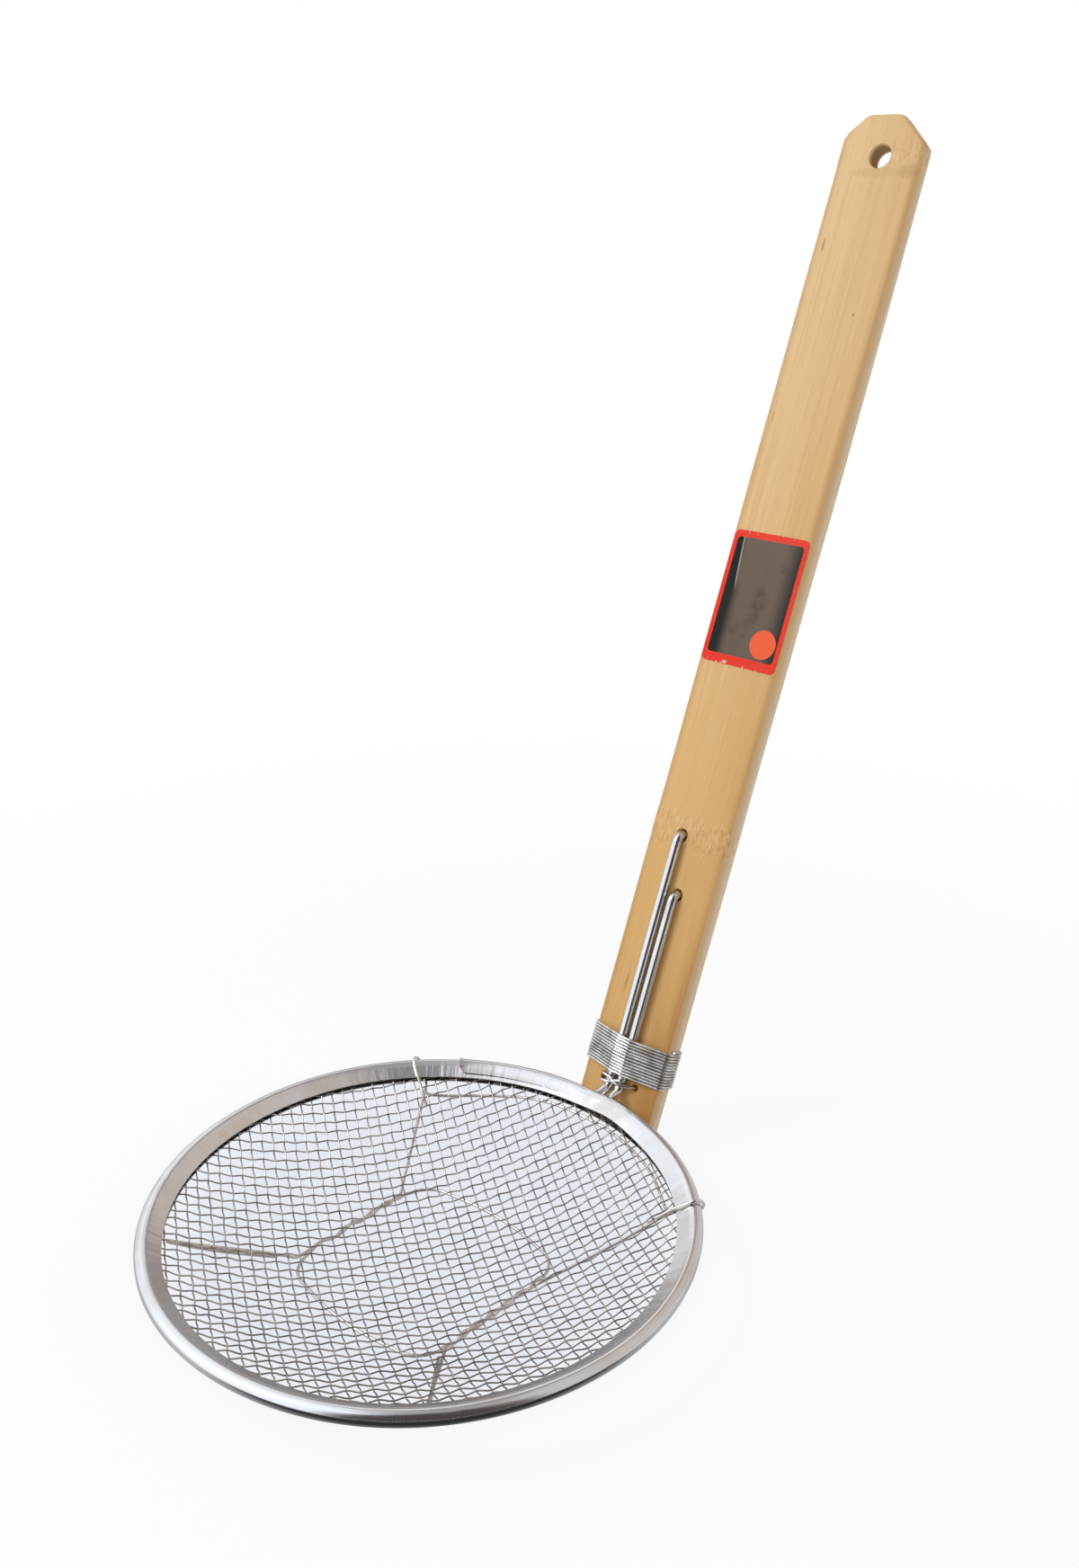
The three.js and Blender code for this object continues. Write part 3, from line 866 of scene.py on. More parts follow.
@dataclass(frozen=True)
class BambooFinish(Finish):
    """Planed bamboo: fine fibres along the handle, knots, cut sides and a few dark marks.

    Attributes:
        pale, golden: Colours towards the handle's top and its lower end.
        warm, brown: Colours of painted shade towards the right and at the lower right.
        cut_side, cut_back: Colours of the narrow sides towards the face and towards the back.
        paling: Heights between which golden turns to pale.
        cloud, drift: Noise that makes those heights uneven, and how far.
        to_right: Places across where warm, the painted shade on the right, comes up.
        low_end, low_right: Heights and places across where brown, the painted shade at the lower
            right, comes up.
        fibre_rise, fibre_share: How the fibres come up with their noise, and their strength.
        edge: Distance from the middle where the face darkens towards its edges.
        side: Distance from the middle where the narrow side begins.
        side_share: Strength of its colour between fibres and on them.
        side_depth: Depth over which the narrow side gets paler.
        knot_wave, knot_lift: Noise of a knot's uneven height, and how uneven it is.
        light, dark: How its light and its dark flecks come up with their noise.
        bore, bore_depth: Painted shade on the hanging hole's wall, and the depths between which it
            lies.
        relief: Height of the fibres in metres.
    """

    name: str = "bamboo"
    pale: Colour = srgb(231, 196, 144)
    golden: Colour = srgb(231, 184, 118)
    # Painted shade towards the right and at the lower right
    right_shade: Colour = srgb(206, 158, 98)
    low_right_shade: Colour = srgb(178, 124, 62)
    fibre: Colour = srgb(190, 142, 84)
    cut_side: Colour = srgb(218, 184, 142)
    cut_back: Colour = srgb(232, 214, 186)
    knot_light: Colour = srgb(234, 206, 160)
    knot_dark: Colour = srgb(184, 134, 78)
    # Colour of the dark marks, and of the painted shade in the hanging hole
    mark_and_bore_shade: Colour = srgb(112, 68, 34)
    paling: Ramp = Ramp(0.0, 330.0)
    cloud: Grain = Grain((0.12, 0.012, 0.12), 3.0, 5.0)
    drift: float = 170.0
    to_right: Ramp = Ramp(-8.0, 16.0, 0.35)
    low_end: Ramp = Ramp(90.0, 0.0)
    low_right: Ramp = Ramp(1.0, 14.0, 0.75)
    fine: Grain = Grain((2.6, 0.022, 2.6), 3.0, 6.0)
    wide: Grain = Grain((0.7, 0.008, 0.7), 2.0, 7.0)
    wide_share: float = 0.45
    fibre_rise: Ramp = Ramp(0.38, 0.68)
    fibre_share: float = 0.26
    edge: Ramp = Ramp(13.2, 15.8, 0.4)
    side: Ramp = Ramp(16.1, 16.8)
    side_share: tuple[float, float] = (0.95, 0.6)
    side_depth: Ramp = Ramp(-2.2, -6.0)
    knots: tuple[Knot, ...] = (
        Knot(95.0, 6.5, Ramp(-40.0, -30.0)),
        Knot(340.5, 4.0, Ramp(3.0, 6.0)),
    )
    knot_flecks: Grain = Grain((2.3, 0.4, 2.3), 2.0, 8.0)
    knot_wave: Grain = Grain((0.35, 0.0, 0.35), 2.0, 9.0)
    knot_lift: float = 5.0
    knot_soft: float = 2.0
    light: Ramp = Ramp(0.54, 0.66, 0.6)
    dark: Ramp = Ramp(0.46, 0.36, 0.5)
    flecks: tuple[Fleck, ...] = (
        Fleck(-12.6, 308.0, 0.6, 3.4, 0.5),
        Fleck(-8.8, 37.0, 0.55, 4.2, 0.45),
        Fleck(7.4, 284.0, 0.6, 0.9, 0.45),
        Fleck(-13.6, 246.0, 0.35, 3.0, 0.35),
        Fleck(13.2, 334.0, 4.5, 3.0, 0.16),
        Fleck(2.0, 333.6, 15.0, 2.2, 0.1),
    )
    bore_shade: Fleck = Fleck(*HANGING_HOLE, 6.4, 6.4, 0.8)
    bore_depth: tuple[Ramp, Ramp] = (Ramp(-0.3, -1.2), Ramp(-5.9, -5.2))
    roughness: tuple[float, float] = (0.42, 0.55)
    relief: float = 0.00003
    specular: float = 0.2

    def surface(self, nodes: Nodes) -> Mapping[str, object]:
        """Give the inputs of the surface shader, by name.

        Args:
            nodes: Adder for the material's nodes.

        Returns:
            A value for each input.
        """
        place = nodes.attribute("grain")
        across, along, out = nodes.split(place)
        noise = nodes.between(self.wide_share, self.fine.of(place), self.wide.of(place))
        fibres = self.fibre_rise.of(noise)
        height = along + (self.cloud.of(place) - 0.5) * self.drift
        side = self.side.of(abs(across)) * nodes.between(fibres, *self.side_share)
        wall = self.bore_depth[0].of(out) * self.bore_depth[1].of(out)
        layers = [
            (self.paling.of(height), self.pale),
            # Painted shade, darker towards the right and more so at the lower right
            (self.to_right.of(across), self.right_shade),
            (self.low_end.of(height) * self.low_right.of(across), self.low_right_shade),
            (fibres * self.fibre_share, self.fibre),
            (self.edge.of(abs(across)), self.fibre),
            (side, nodes.blend(self.side_depth.of(out), self.cut_side, self.cut_back)),
            *self.knot_layers(place),
            *((fleck.of(across, along), self.mark_and_bore_shade) for fleck in self.flecks),
            # Painted shade on the hanging hole's wall, in the colour of the marks
            (wall * self.bore_shade.of(across, along), self.mark_and_bore_shade),
        ]
        return {
            "Base Color": nodes.layered(self.golden, layers),
            "Roughness": nodes.between(fibres, *self.roughness),
            "Normal": nodes.bump(fibres, self.relief),
            "Specular IOR Level": self.specular,
        }

    def knot_layers(self, place: Value) -> list[tuple[Value, Colour]]:
        """Give the shares and colours of short dark and light flecks over the knots.

        Args:
            place: Place across, along and out of the face.

        Returns:
            Share and colour of each layer.
        """
        across, along, _ = place.nodes.split(place)
        flecks = self.knot_flecks.of(place)
        along = along + (self.knot_wave.of(place) - 0.5) * self.knot_lift
        layers = []
        for knot in self.knots:
            outer, inner = knot.half_length + self.knot_soft, knot.half_length - self.knot_soft
            band = Ramp(outer, inner).of(abs(along - knot.along)) * knot.fade.of(across)
            layers.append((self.dark.of(flecks) * band, self.knot_dark))
            layers.append((self.light.of(flecks) * band, self.knot_light))
        return layers


@dataclass(frozen=True)
class LabelFinish(Finish):
    """Printed label: dark field in a red border, with one plain round spot and worn places.

    Attributes:
        field, faded: Colours of the dark field, and of the field where a painted reflection
            lightens it.
        glint: Colour of the light on the lifted crease.
        paper: Colour of bare paper where the print is scuffed.
        crease: Place of the crease across, at the middle, and its lean.
        ridge: Distance from the crease where its light comes up.
        past_crease: Distance past the crease where the painted reflection begins.
        upper: Heights where the crease begins.
        reflection_left, reflection_right: Places across where the painted reflection begins below
            it, and ends.
        half, corner: Half width and half length of the field, and the radius of its corners.
        middle: Middle of the field, across and along from the label's middle.
        blur: Half width of a printed edge.
        wear_ends: Distance from the middle where they begin.
    """

    name: str = "label_print"
    field: Colour = srgb(22, 17, 16)
    # Colour of the field where a painted reflection lightens it
    reflection_tone: Colour = srgb(108, 92, 78)
    border: Colour = srgb(238, 58, 38)
    spot: Colour = srgb(248, 102, 60)
    glint: Colour = srgb(196, 186, 174)
    paper: Colour = srgb(236, 226, 214)
    crease: tuple[float, float] = LABEL_CREASE
    ridge: Ramp = Ramp(0.45, 0.1, 0.6)
    past_crease: Ramp = Ramp(-0.2, 0.3)
    upper: Ramp = Ramp(1.0, 7.0)
    reflection_left: Ramp = Ramp(-11.5, -6.0)
    reflection_right: Ramp = Ramp(15.5, 7.0)
    haze: Grain = Grain((0.12, 0.12, 0.12), 2.0, 1.44)
    haze_rise: Ramp = Ramp(0.05, 0.5)
    half: tuple[float, float] = (14.05, 21.1)
    corner: float = 1.4
    middle: tuple[float, float] = (0.1, 0.5)
    spot_place: tuple[float, float] = (8.4, -14.5)
    spot_radius: float = 5.2
    blur: float = 0.06
    scuff: Fleck = Fleck(-5.2, -23.2, 1.2, 0.7, 0.8)
    wear: Grain = Grain((0.9, 0.9, 0.9), 4.0, 9.9)
    wear_rise: Ramp = Ramp(0.6, 0.66)
    wear_ends: Ramp = Ramp(22.6, 24.0)
    roughness: tuple[float, float] = (0.3, 0.45)
    specular: float = 0.12

    def surface(self, nodes: Nodes) -> Mapping[str, object]:
        """Give the inputs of the surface shader, by name.

        Args:
            nodes: Adder for the material's nodes.

        Returns:
            A value for each input.
        """
        place = nodes.attribute("grain")
        across, along, _ = nodes.split(place)
        haze = self.haze.of(place)
        start, lean = self.crease
        past = across + along * lean - start
        upper = self.upper.of(along)
        # Painted reflection: lighter field past the crease above, from near the left edge below,
        # fading right
        reflection_share = nodes.between(upper, self.reflection_left.of(across), self.past_crease.of(past))
        bare = self.wear_rise.of(self.wear.of(place)) * self.wear_ends.of(abs(along))
        layers = [
            (reflection_share * self.reflection_right.of(across) * self.haze_rise.of(haze), self.reflection_tone),
            (self.ridge.of(abs(past)) * upper, self.glint),
            (self.outside(nodes, across, along), self.border),
            (self.on_spot(nodes, across, along), self.spot),
            (nodes.maths("MAXIMUM", bare, self.scuff.of(across, along)), self.paper),
        ]
        return {
            "Base Color": nodes.layered(self.field, layers),
            "Roughness": nodes.between(haze, *self.roughness),
            "Specular IOR Level": self.specular,
        }

    def outside(self, nodes: Nodes, across: Value, along: Value) -> Value:
        """Give the share of the border, round the field with its round corners.

        Args:
            nodes: Adder for the material's nodes.
            across: Place across the label.
            along: Place along it.

        Returns:
            Zero on the field and one on the border.
        """
        x, y = (
            nodes.maths("MAXIMUM", abs(way - middle) - half + self.corner, 0.0)
            for way, middle, half in zip((across, along), self.middle, self.half)
        )
        return nodes.rising(nodes.length(x, y), self.corner - self.blur, self.corner + self.blur)

    def on_spot(self, nodes: Nodes, across: Value, along: Value) -> Value:
        """Give the share of the round spot."""
        away = nodes.length(across - self.spot_place[0], along - self.spot_place[1])
        return nodes.rising(away, self.spot_radius + self.blur, self.spot_radius - self.blur)


RIM_FINISH = SteelFinish(
    "rim_sheet", srgb(228, 229, 232), srgb(212, 204, 199), (0.11, 0.24), 45.0, 5e-5, 120.0, 2e-4
)
HOOP_FINISH = SteelFinish(
    "bright_wire", srgb(222, 222, 223), srgb(204, 203, 202), (0.08, 0.16), 60.0, 4e-6, 500.0
)
BINDING_FINISH = SteelFinish(
    "binding_wire", srgb(222, 220, 218), srgb(178, 174, 169), (0.12, 0.2), 220.0, 4e-6, 500.0
)
WIRE_FINISH = SteelFinish(
    "drawn_wire", srgb(232, 228, 222), srgb(210, 203, 195), (0.18, 0.3), 130.0, 1e-5, 900.0
)
MESH_FINISH = SteelFinish(
    "mesh_wire", srgb(200, 192, 184), srgb(148, 137, 128), (0.12, 0.2), 160.0, 4e-6, 900.0
)


# Pieces


@dataclass(frozen=True)
class Datum:
    """Where the bowl's axis and the handle's face lie.

    Attributes:
        axis: Place of the bowl's axis along X.
        rim_top: Height of the rim's top.
        reach: Distance from the axis to the handle's face at the rim's top.
        lean: Angle in degrees that the handle leans out from upright.
    """

    axis: float
    rim_top: float
    reach: float = 97.0
    lean: float = 22.5

    @classmethod
    def from_solids(cls) -> "Datum":
        """Read the bowl's axis and the rim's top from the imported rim."""
        low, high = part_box("rim_band")
        return cls(axis=(low.x + high.x) / 2 / MM, rim_top=high.z / MM)

    def handle_axes(self) -> Points:
        """Give the directions across the face, up the handle and out of the face, as rows.

        Returns:
            One direction in each row.
        """
        lean = math.radians(self.lean)
        sine, cosine = math.sin(lean), math.cos(lean)
        return np.array([[0.0, -1.0, 0.0], [sine, 0.0, cosine], [-cosine, 0.0, sine]])

    def handle_origin(self) -> Points:
        """Give the middle of the handle's face at the height of the rim's top."""
        return np.array([self.axis + self.reach, 0.0, self.rim_top])

    def on_handle(self, places: Sequence) -> Points:
        """Turn places across, along and out of the handle's face into places in the frame."""
        return np.asarray(places, float) @ self.handle_axes() + self.handle_origin()

    def in_handle(self, points: Points) -> Points:
        """Turn places in the frame into places across, along and out of the handle's face."""
        return (np.asarray(points, float) - self.handle_origin()) @ self.handle_axes().T

    def round_axis(self, radius: float, degrees: float, height: float) -> Points:
        """Give a place at a distance and angle round the bowl's axis, and a height."""
        angle = math.radians(degrees)
        return np.array([self.axis + radius * math.cos(angle), radius * math.sin(angle), height])


@dataclass(frozen=True)
class BowlShape:
    """Curve of the bowl: a small flat bottom, then a dish that gets steeper towards the rim.

    Attributes:
        floor: Height of the middle of the mesh at the bottom.
        depth: Rise from the bottom to the rim's fold.
        bottom: Radius of the flat bottom.
        curve: Power by which the dish rises.
        rim_inside: Radius of the rim's inner edge.
        half_mesh: Half of the mesh's thickness, crimp included.
    """

    floor: float = 1.1
    depth: float = 18.5
    bottom: float = 8.0
    curve: float = 1.88
    rim_inside: float = 81.4
    half_mesh: float = 0.6

    def share(self, radius: float) -> float:
        """Give the share of the way from the flat bottom to the rim."""
        return min(1.0, max(0.0, (radius - self.bottom) / (self.rim_inside - self.bottom)))

    def height(self, radius: float) -> float:
        """Give the height of the middle of the mesh at a radius."""
        return self.floor + self.depth * self.share(radius) ** self.curve

    def under(self, radius: float, wire: float) -> float:
        """Give the height of a wire's middle where it lies under the mesh at a radius.

        Args:
            radius: Distance from the bowl's axis.
            wire: Diameter of the wire.

        Returns:
            The height.
        """
        steepest = self.curve * self.depth / (self.rim_inside - self.bottom)
        slope = steepest * self.share(radius) ** (self.curve - 1)
        return self.height(radius) - (self.half_mesh + wire / 2) * math.hypot(1, slope)


@dataclass
class BambooHandle:
    """Flat bamboo strip with a crowned face, a chamfered top end and five holes.

    Attributes:
        top, below: Height of the top end along the handle, and length below the rim's top.
        edge, back_edge, end_edge: Radii of the face's and the back's long edges and of the ends.
        left_chamfer, right_chamfer: Width and length of the top end's chamfers.
        waves: Size and length of the slight waves in the long edges.
        knot_swell: Rise of the face at a knot, and its length.
        hanging_hole, leg_holes, tie_holes: Across, along and diameter of each hole.
        hole_edge: Steps of a hole's broken edge: out of the face, and beyond the radius.
        station: Distance between the sections that the strip is drawn from.
    """

    datum: Datum
    width: float = 34.0
    thickness: float = 7.6
    top_thickness: float = 6.0
    thin_from: float = 200.0
    top: float = 354.0
    below: float = 13.0
    crown: float = 0.7
    edge: float = 1.7
    back_edge: float = 1.1
    end_edge: float = 0.9
    left_chamfer: tuple[float, float] = (7.8, 7.0)
    right_chamfer: tuple[float, float] = (11.8, 10.8)
    chamfer_round: float = 0.6
    waves: tuple[tuple[float, float], ...] = ((0.06, 31.0), (0.04, 11.0))
    knots: tuple[float, ...] = (96.0, 341.0)
    knot_swell: tuple[float, float] = (0.25, 5.0)
    hanging_hole: Place = (*HANGING_HOLE, 8.0)
    leg_holes: tuple[Place, ...] = ((-2.6, 93.9, 4.5), (2.15, 72.9, 4.5))
    tie_holes: tuple[Place, ...] = ((-7.5, 1.5, 2.6), (7.1, 1.9, 2.6))
    hole_edge: tuple[tuple[float, float], ...] = ((-0.35, 0.0), (0.25, 0.45), (3.0, 0.45))
    hole_sides: int = 40
    station: float = 2.5
    sharp: float = 40.0

    def face_height(self, across: Points, along: float) -> Points:
        """Give how far the face stands out at places across it, at a height on the handle.

        Args:
            across: Places across the face.
            along: Height on the handle.

        Returns:
            The distance at each place.
        """
        rise, length = self.knot_swell
        swell = sum(rise * math.exp(-(((along - knot) / length) ** 2)) for knot in self.knots)
        return swell - self.crown * (np.asarray(across) / (self.width / 2)) ** 2

    def edges(self, along: float) -> tuple[float, float]:
        """Give the left and right edge across the face at a height, drawn in by the chamfers.

        Args:
            along: Height on the handle.

        Returns:
            Places of both edges across the face.
        """
        full = self.width / 2
        full += sum(size * (math.sin(along / length) - 1) for size, length in self.waves)
        drawn = []
        for wide, long in (self.left_chamfer, self.right_chamfer):
            gap = wide * (1 - (self.top - along) / long)
            drawn.append(full - (gap + math.hypot(gap, self.chamfer_round)) / 2)
        return -drawn[0], drawn[1]

    def back(self, along: float) -> float:
        """Give how far out of the face the back lies, less deep towards the top end."""
        share = min(1.0, max(0.0, (along - self.thin_from) / (self.top - self.thin_from)))
        return (self.thickness - self.top_thickness) * share * share - self.thickness

    def section(self, along: float, inset: float) -> Points:
        """Draw the outline of the strip at a height.

        Args:
            along: Height on the handle.
            inset: Distance that the outline is drawn in, for rounded ends.

        Returns:
            Closed outline as places across, along and out of the face.
        """
        left, right = self.edges(along)
        left, right = left + inset, right - inset
        edge, inner = self.edge, self.back_edge
        flat = np.linspace(left + edge, right - edge, 25)
        face = self.face_height(flat, along) - inset
        back = self.back(along) + inset
        turn = np.linspace(math.pi / 2, 0.0, 8)[1:]
        low = np.linspace(0.0, -math.pi / 2, 6)
        sides = []
        for end, way, height in ((right, 1, face[-1]), (left, -1, face[0])):
            front = [end + way * edge * (np.cos(turn) - 1), height + edge * (np.sin(turn) - 1)]
            rear = [end + way * inner * (np.cos(low) - 1), back + inner * (np.sin(low) + 1)]
            sides.append(np.concatenate([front, rear], 1))
        under = np.linspace(right - inner, left + inner, 11)[1:-1]
        parts = [(flat, face), sides[0], (under, np.full(len(under), back)), sides[1][:, ::-1]]
        across, out = np.concatenate(parts, 1)
        return np.stack([across, np.full(len(across), along), out], 1)

    def stations(self) -> list[tuple[float, float]]:
        """List the heights of the sections, each with its inset.

        Returns:
            Height and inset of each section.
        """
        ends = [
            (self.end_edge * (1 - math.cos(a)), self.end_edge * (1 - math.sin(a)))
            for a in np.linspace(0.0, math.pi / 2, 6)
        ]
        first, last = -self.below + self.end_edge, self.top - self.end_edge
        count = round((last - first) / self.station)
        return [
            *((-self.below + up, inset) for up, inset in ends),
            *((height, 0.0) for height in np.linspace(first, last, count + 1)[1:-1]),
            *((self.top - up, inset) for up, inset in reversed(ends)),
        ]

    def blank(self) -> Mesh:
        """Draw the strip without its holes.

        Returns:
            The closed mesh.
        """
        rings = [self.section(along, inset) for along, inset in self.stations()]
        faces = ring_faces(len(rings), len(rings[0]))
        return face_mesh("blank", self.datum.on_handle(np.concatenate(rings)), faces)

    def drills(self) -> Mesh:
        """Draw what the holes take away, each with a slightly broken edge at the face.

        Returns:
            One mesh of all drills.
        """
        points, faces = [], []
        turns = np.linspace(0, 2 * math.pi, self.hole_sides, endpoint=False)
        rings = ((-2 * self.thickness, 0.0), *self.hole_edge)
        holes = (self.hanging_hole, *self.leg_holes, *self.tie_holes)
        for across, along, diameter in holes:
            faces += ring_faces(len(rings), len(turns), start=len(points))
            for out, more in rings:
                wide = diameter / 2 + more
                points += [
                    (across + wide * math.cos(t), along + wide * math.sin(t), out) for t in turns
                ]
        return face_mesh("drills", self.datum.on_handle(points), faces)

    def build(self, finish: Material) -> Piece:
        """Make the handle, with its grain, and dress it.

        Args:
            finish: Its material.

        Returns:
            The finished piece.
        """
        mesh = shaded(cut_away(self.blank(), self.drills()), self.sharp)
        store(mesh, "grain", self.datum.in_handle(corner_places(mesh)))
        return dressed("handle", mesh, finish, Slot.BAMBOO, "bamboo_handle")


@dataclass
class Label:
    """Thin printed label that follows the handle's crowned face, with one lifted crease.

    Attributes:
        middle: Height of its middle on the handle.
        crease: Height of the lifted crease.
        crease_line: Place of the crease across, at the middle, and its lean.
        crease_wave: Size and length of the slight waves in it.
        crease_width: Width of its left and its right slope.
        crease_ends: Height and softness of its lower and its upper end.
    """

    handle: BambooHandle
    width: float = 31.6
    length: float = 48.0
    middle: float = 181.0
    corner: float = 2.0
    thickness: float = 0.14
    glue: float = 0.03
    crease: float = 0.4
    crease_line: tuple[float, float] = LABEL_CREASE
    crease_wave: tuple[float, float] = (0.2, 2.5)
    crease_width: tuple[float, float] = (1.5, 0.5)
    crease_ends: tuple[tuple[float, float], ...] = ((3.5, 1.2), (22.5, -0.5))
    crease_power: float = 1.6
    steps: int = 81
    sharp: float = 38.0

    def half_width(self, along: float) -> float:
        """Give half of the label's width at a place along it, less in the round corners."""
        past = max(0.0, abs(along) - (self.length / 2 - self.corner))
        return self.width / 2 - self.corner + math.sqrt(max(0.0, self.corner**2 - past**2))

    def lift(self, across: Points, along: float) -> Points:
        """Give how far the crease lifts the paper, along a ridge that leans to the left.

        Args:
            across: Places across the label.
            along: Place along it.

        Returns:
            The lift at each place.
        """
        (start, lean), (wave, length) = self.crease_line, self.crease_wave
        ridge = start - lean * along + wave * math.sin(along / length)
        fade = 1.0
        for end, soft in self.crease_ends:
            fade *= 1 / (1 + math.exp(-(along - end) / soft))
        width = np.where(across < ridge, *self.crease_width)
        return self.crease * fade * np.exp(-np.abs((across - ridge) / width) ** self.crease_power)

    def build(self, finish: Material) -> Piece:
        """Make the label and dress it.

        Args:
            finish: Its material.

        Returns:
            The finished piece.
        """
        datum, end = self.handle.datum, self.length / 2 - self.corner
        inner = np.linspace(-end, end, self.steps)
        turn = self.corner * np.sin(np.linspace(0, math.pi / 2, 9)[1:])
        upper, lower = [], []
        for along in np.concatenate([inner[0] - turn[::-1], inner, inner[-1] + turn]):
            across = np.linspace(-1, 1, self.steps) * self.half_width(along)
            face = self.handle.face_height(across, self.middle + along) + self.lift(across, along)
            height = np.full(len(across), self.middle + along)
            upper.append(np.stack([across, height, face + self.glue + self.thickness], 1))
            lower.append(np.stack([across, height, face + self.glue], 1))
        top, bottom = (datum.on_handle(np.array(grid)) for grid in (upper, lower))
        mesh = shaded(sheet_mesh("label_sheet", top, bottom), self.sharp)
        store(mesh, "grain", datum.in_handle(corner_places(mesh)) - (0.0, self.middle, 0.0))
        return dressed("label_sheet", mesh, finish, Slot.LABEL, "label")


@dataclass
class HoopWire:
    """Thick wire round the rim, with two legs up the handle's face that end in its holes.

    Attributes:
        bend, depth: Radius of the bend into a hole, and how far an end reaches into it.
        neck: Sideways reach of the bend at the rim.
        neck_turn: Angle in degrees over which the neck begins.
        neck_bends: The neck's way, as shares outwards, sideways and upwards.
        foot: Heights where a leg comes to lie on the face.
    """

    handle: BambooHandle
    wire: float = 3.55
    radius: float = 87.55
    height: float = 21.22
    bend: float = 2.6
    depth: float = 5.5
    neck: float = 4.2
    neck_turn: float = 4.0
    neck_bends: tuple[Place, ...] = ((0.2, 0.3, 0.12), (0.6, 0.04, 0.42), (0.9, 0.0, 0.78))
    foot: tuple[float, float] = (1.2, 4.0)
    gap: float = 0.1
    step: float = 0.7
    sides: int = 18

    @property
    def datum(self) -> Datum:
        """Datum of the handle that the legs lie on."""
        return self.handle.datum

    @property
    def legs(self) -> list[tuple[float, float]]:
        """Place across the face and height of the left and the right leg's hole."""
        return [(across, top) for across, top, _ in self.handle.leg_holes]

    @property
    def out(self) -> float:
        """Distance of a leg's middle from the handle's face."""
        return self.wire / 2 + self.gap

    def neck_line(self, across: float) -> Points:
        """Draw a leg's way from the rim to the handle's face.

        Args:
            across: Place of the leg across the face.

        Returns:
            Points along the neck.
        """
        datum, turn = self.datum, -math.copysign(1.0, across)
        start = math.degrees(math.asin((abs(across) + self.neck) / self.radius))
        face = datum.on_handle((across, 0.0, self.out))
        reach, rise = face[0] - datum.axis - self.radius, face[2] - self.height
        ring = [
            datum.round_axis(self.radius, turn * angle, self.height)
            for angle in (start + self.neck_turn, start)
        ]
        bends = [
            (
                datum.axis + self.radius + out * reach,
                turn * (abs(across) + side * self.neck),
                self.height + up * rise,
            )
            for out, side, up in self.neck_bends
        ]
        foot = [datum.on_handle((across, along, self.out)) for along in self.foot]
        return smooth_line([*ring, *bends, *foot], self.step)

    def leg_line(self, across: float, top: float) -> Points:
        """Draw a leg from the neck up to its hole and into it.

        Args:
            across: Place of the leg across the face.
            top: Height of its hole.

        Returns:
            Points along the leg.
        """
        straight = top - self.bend
        heights = np.linspace(self.foot[-1], straight, 24)[1:]
        places = [(across, along, self.out) for along in heights]
        for angle in np.linspace(0, math.pi / 2, 11)[1:]:
            up = straight + self.bend * math.sin(angle)
            places.append((across, up, self.out - self.bend * (1 - math.cos(angle))))
        places.append((across, top, -self.depth))
        return self.datum.on_handle(places)

    def line(self) -> Points:
        """Draw the whole wire, from the left leg's end to the right leg's end.

        Returns:
            Points along the wire.
        """
        first, last = (self.neck_line(across) for across, _ in self.legs)
        start, end = (
            math.degrees(math.atan2(neck[0][1], neck[0][0] - self.datum.axis))
            for neck in (first, last)
        )
        circle = [
            self.datum.round_axis(self.radius, angle, self.height)
            for angle in np.linspace(start, 360 + end, 300)[1:-1]
        ]
        left, right = (self.leg_line(across, top) for across, top in self.legs)
        return np.concatenate([left[::-1], first[::-1], circle, last, right])

    def notches(self, tree: WireTree, room: float) -> list[Mesh]:
        """Draw what the two legs need cut out of the rim, with room around them.

        Args:
            tree: Tree that draws wires.
            room: Room round a leg.

        Returns:
            One closed mesh for each leg.
        """
        cutters = []
        sizes = {"Wire diameter": (self.wire + 2 * room) * MM, "Sides": 20}
        for across, _ in self.legs:
            line = self.neck_line(across)
            away = np.hypot(line[:, 0] - self.datum.axis, line[:, 1])
            outer = line_mesh(line[away > self.radius + self.gap])
            cutters.append(tree.grow("notch", outer, sizes))
        return cutters

    def build(self, tree: WireTree, finish: Material) -> Piece:
        """Make the wire and dress it."""
        return tree.piece("hoop", self.line(), self.wire, self.sides, finish, "hoop_wire")


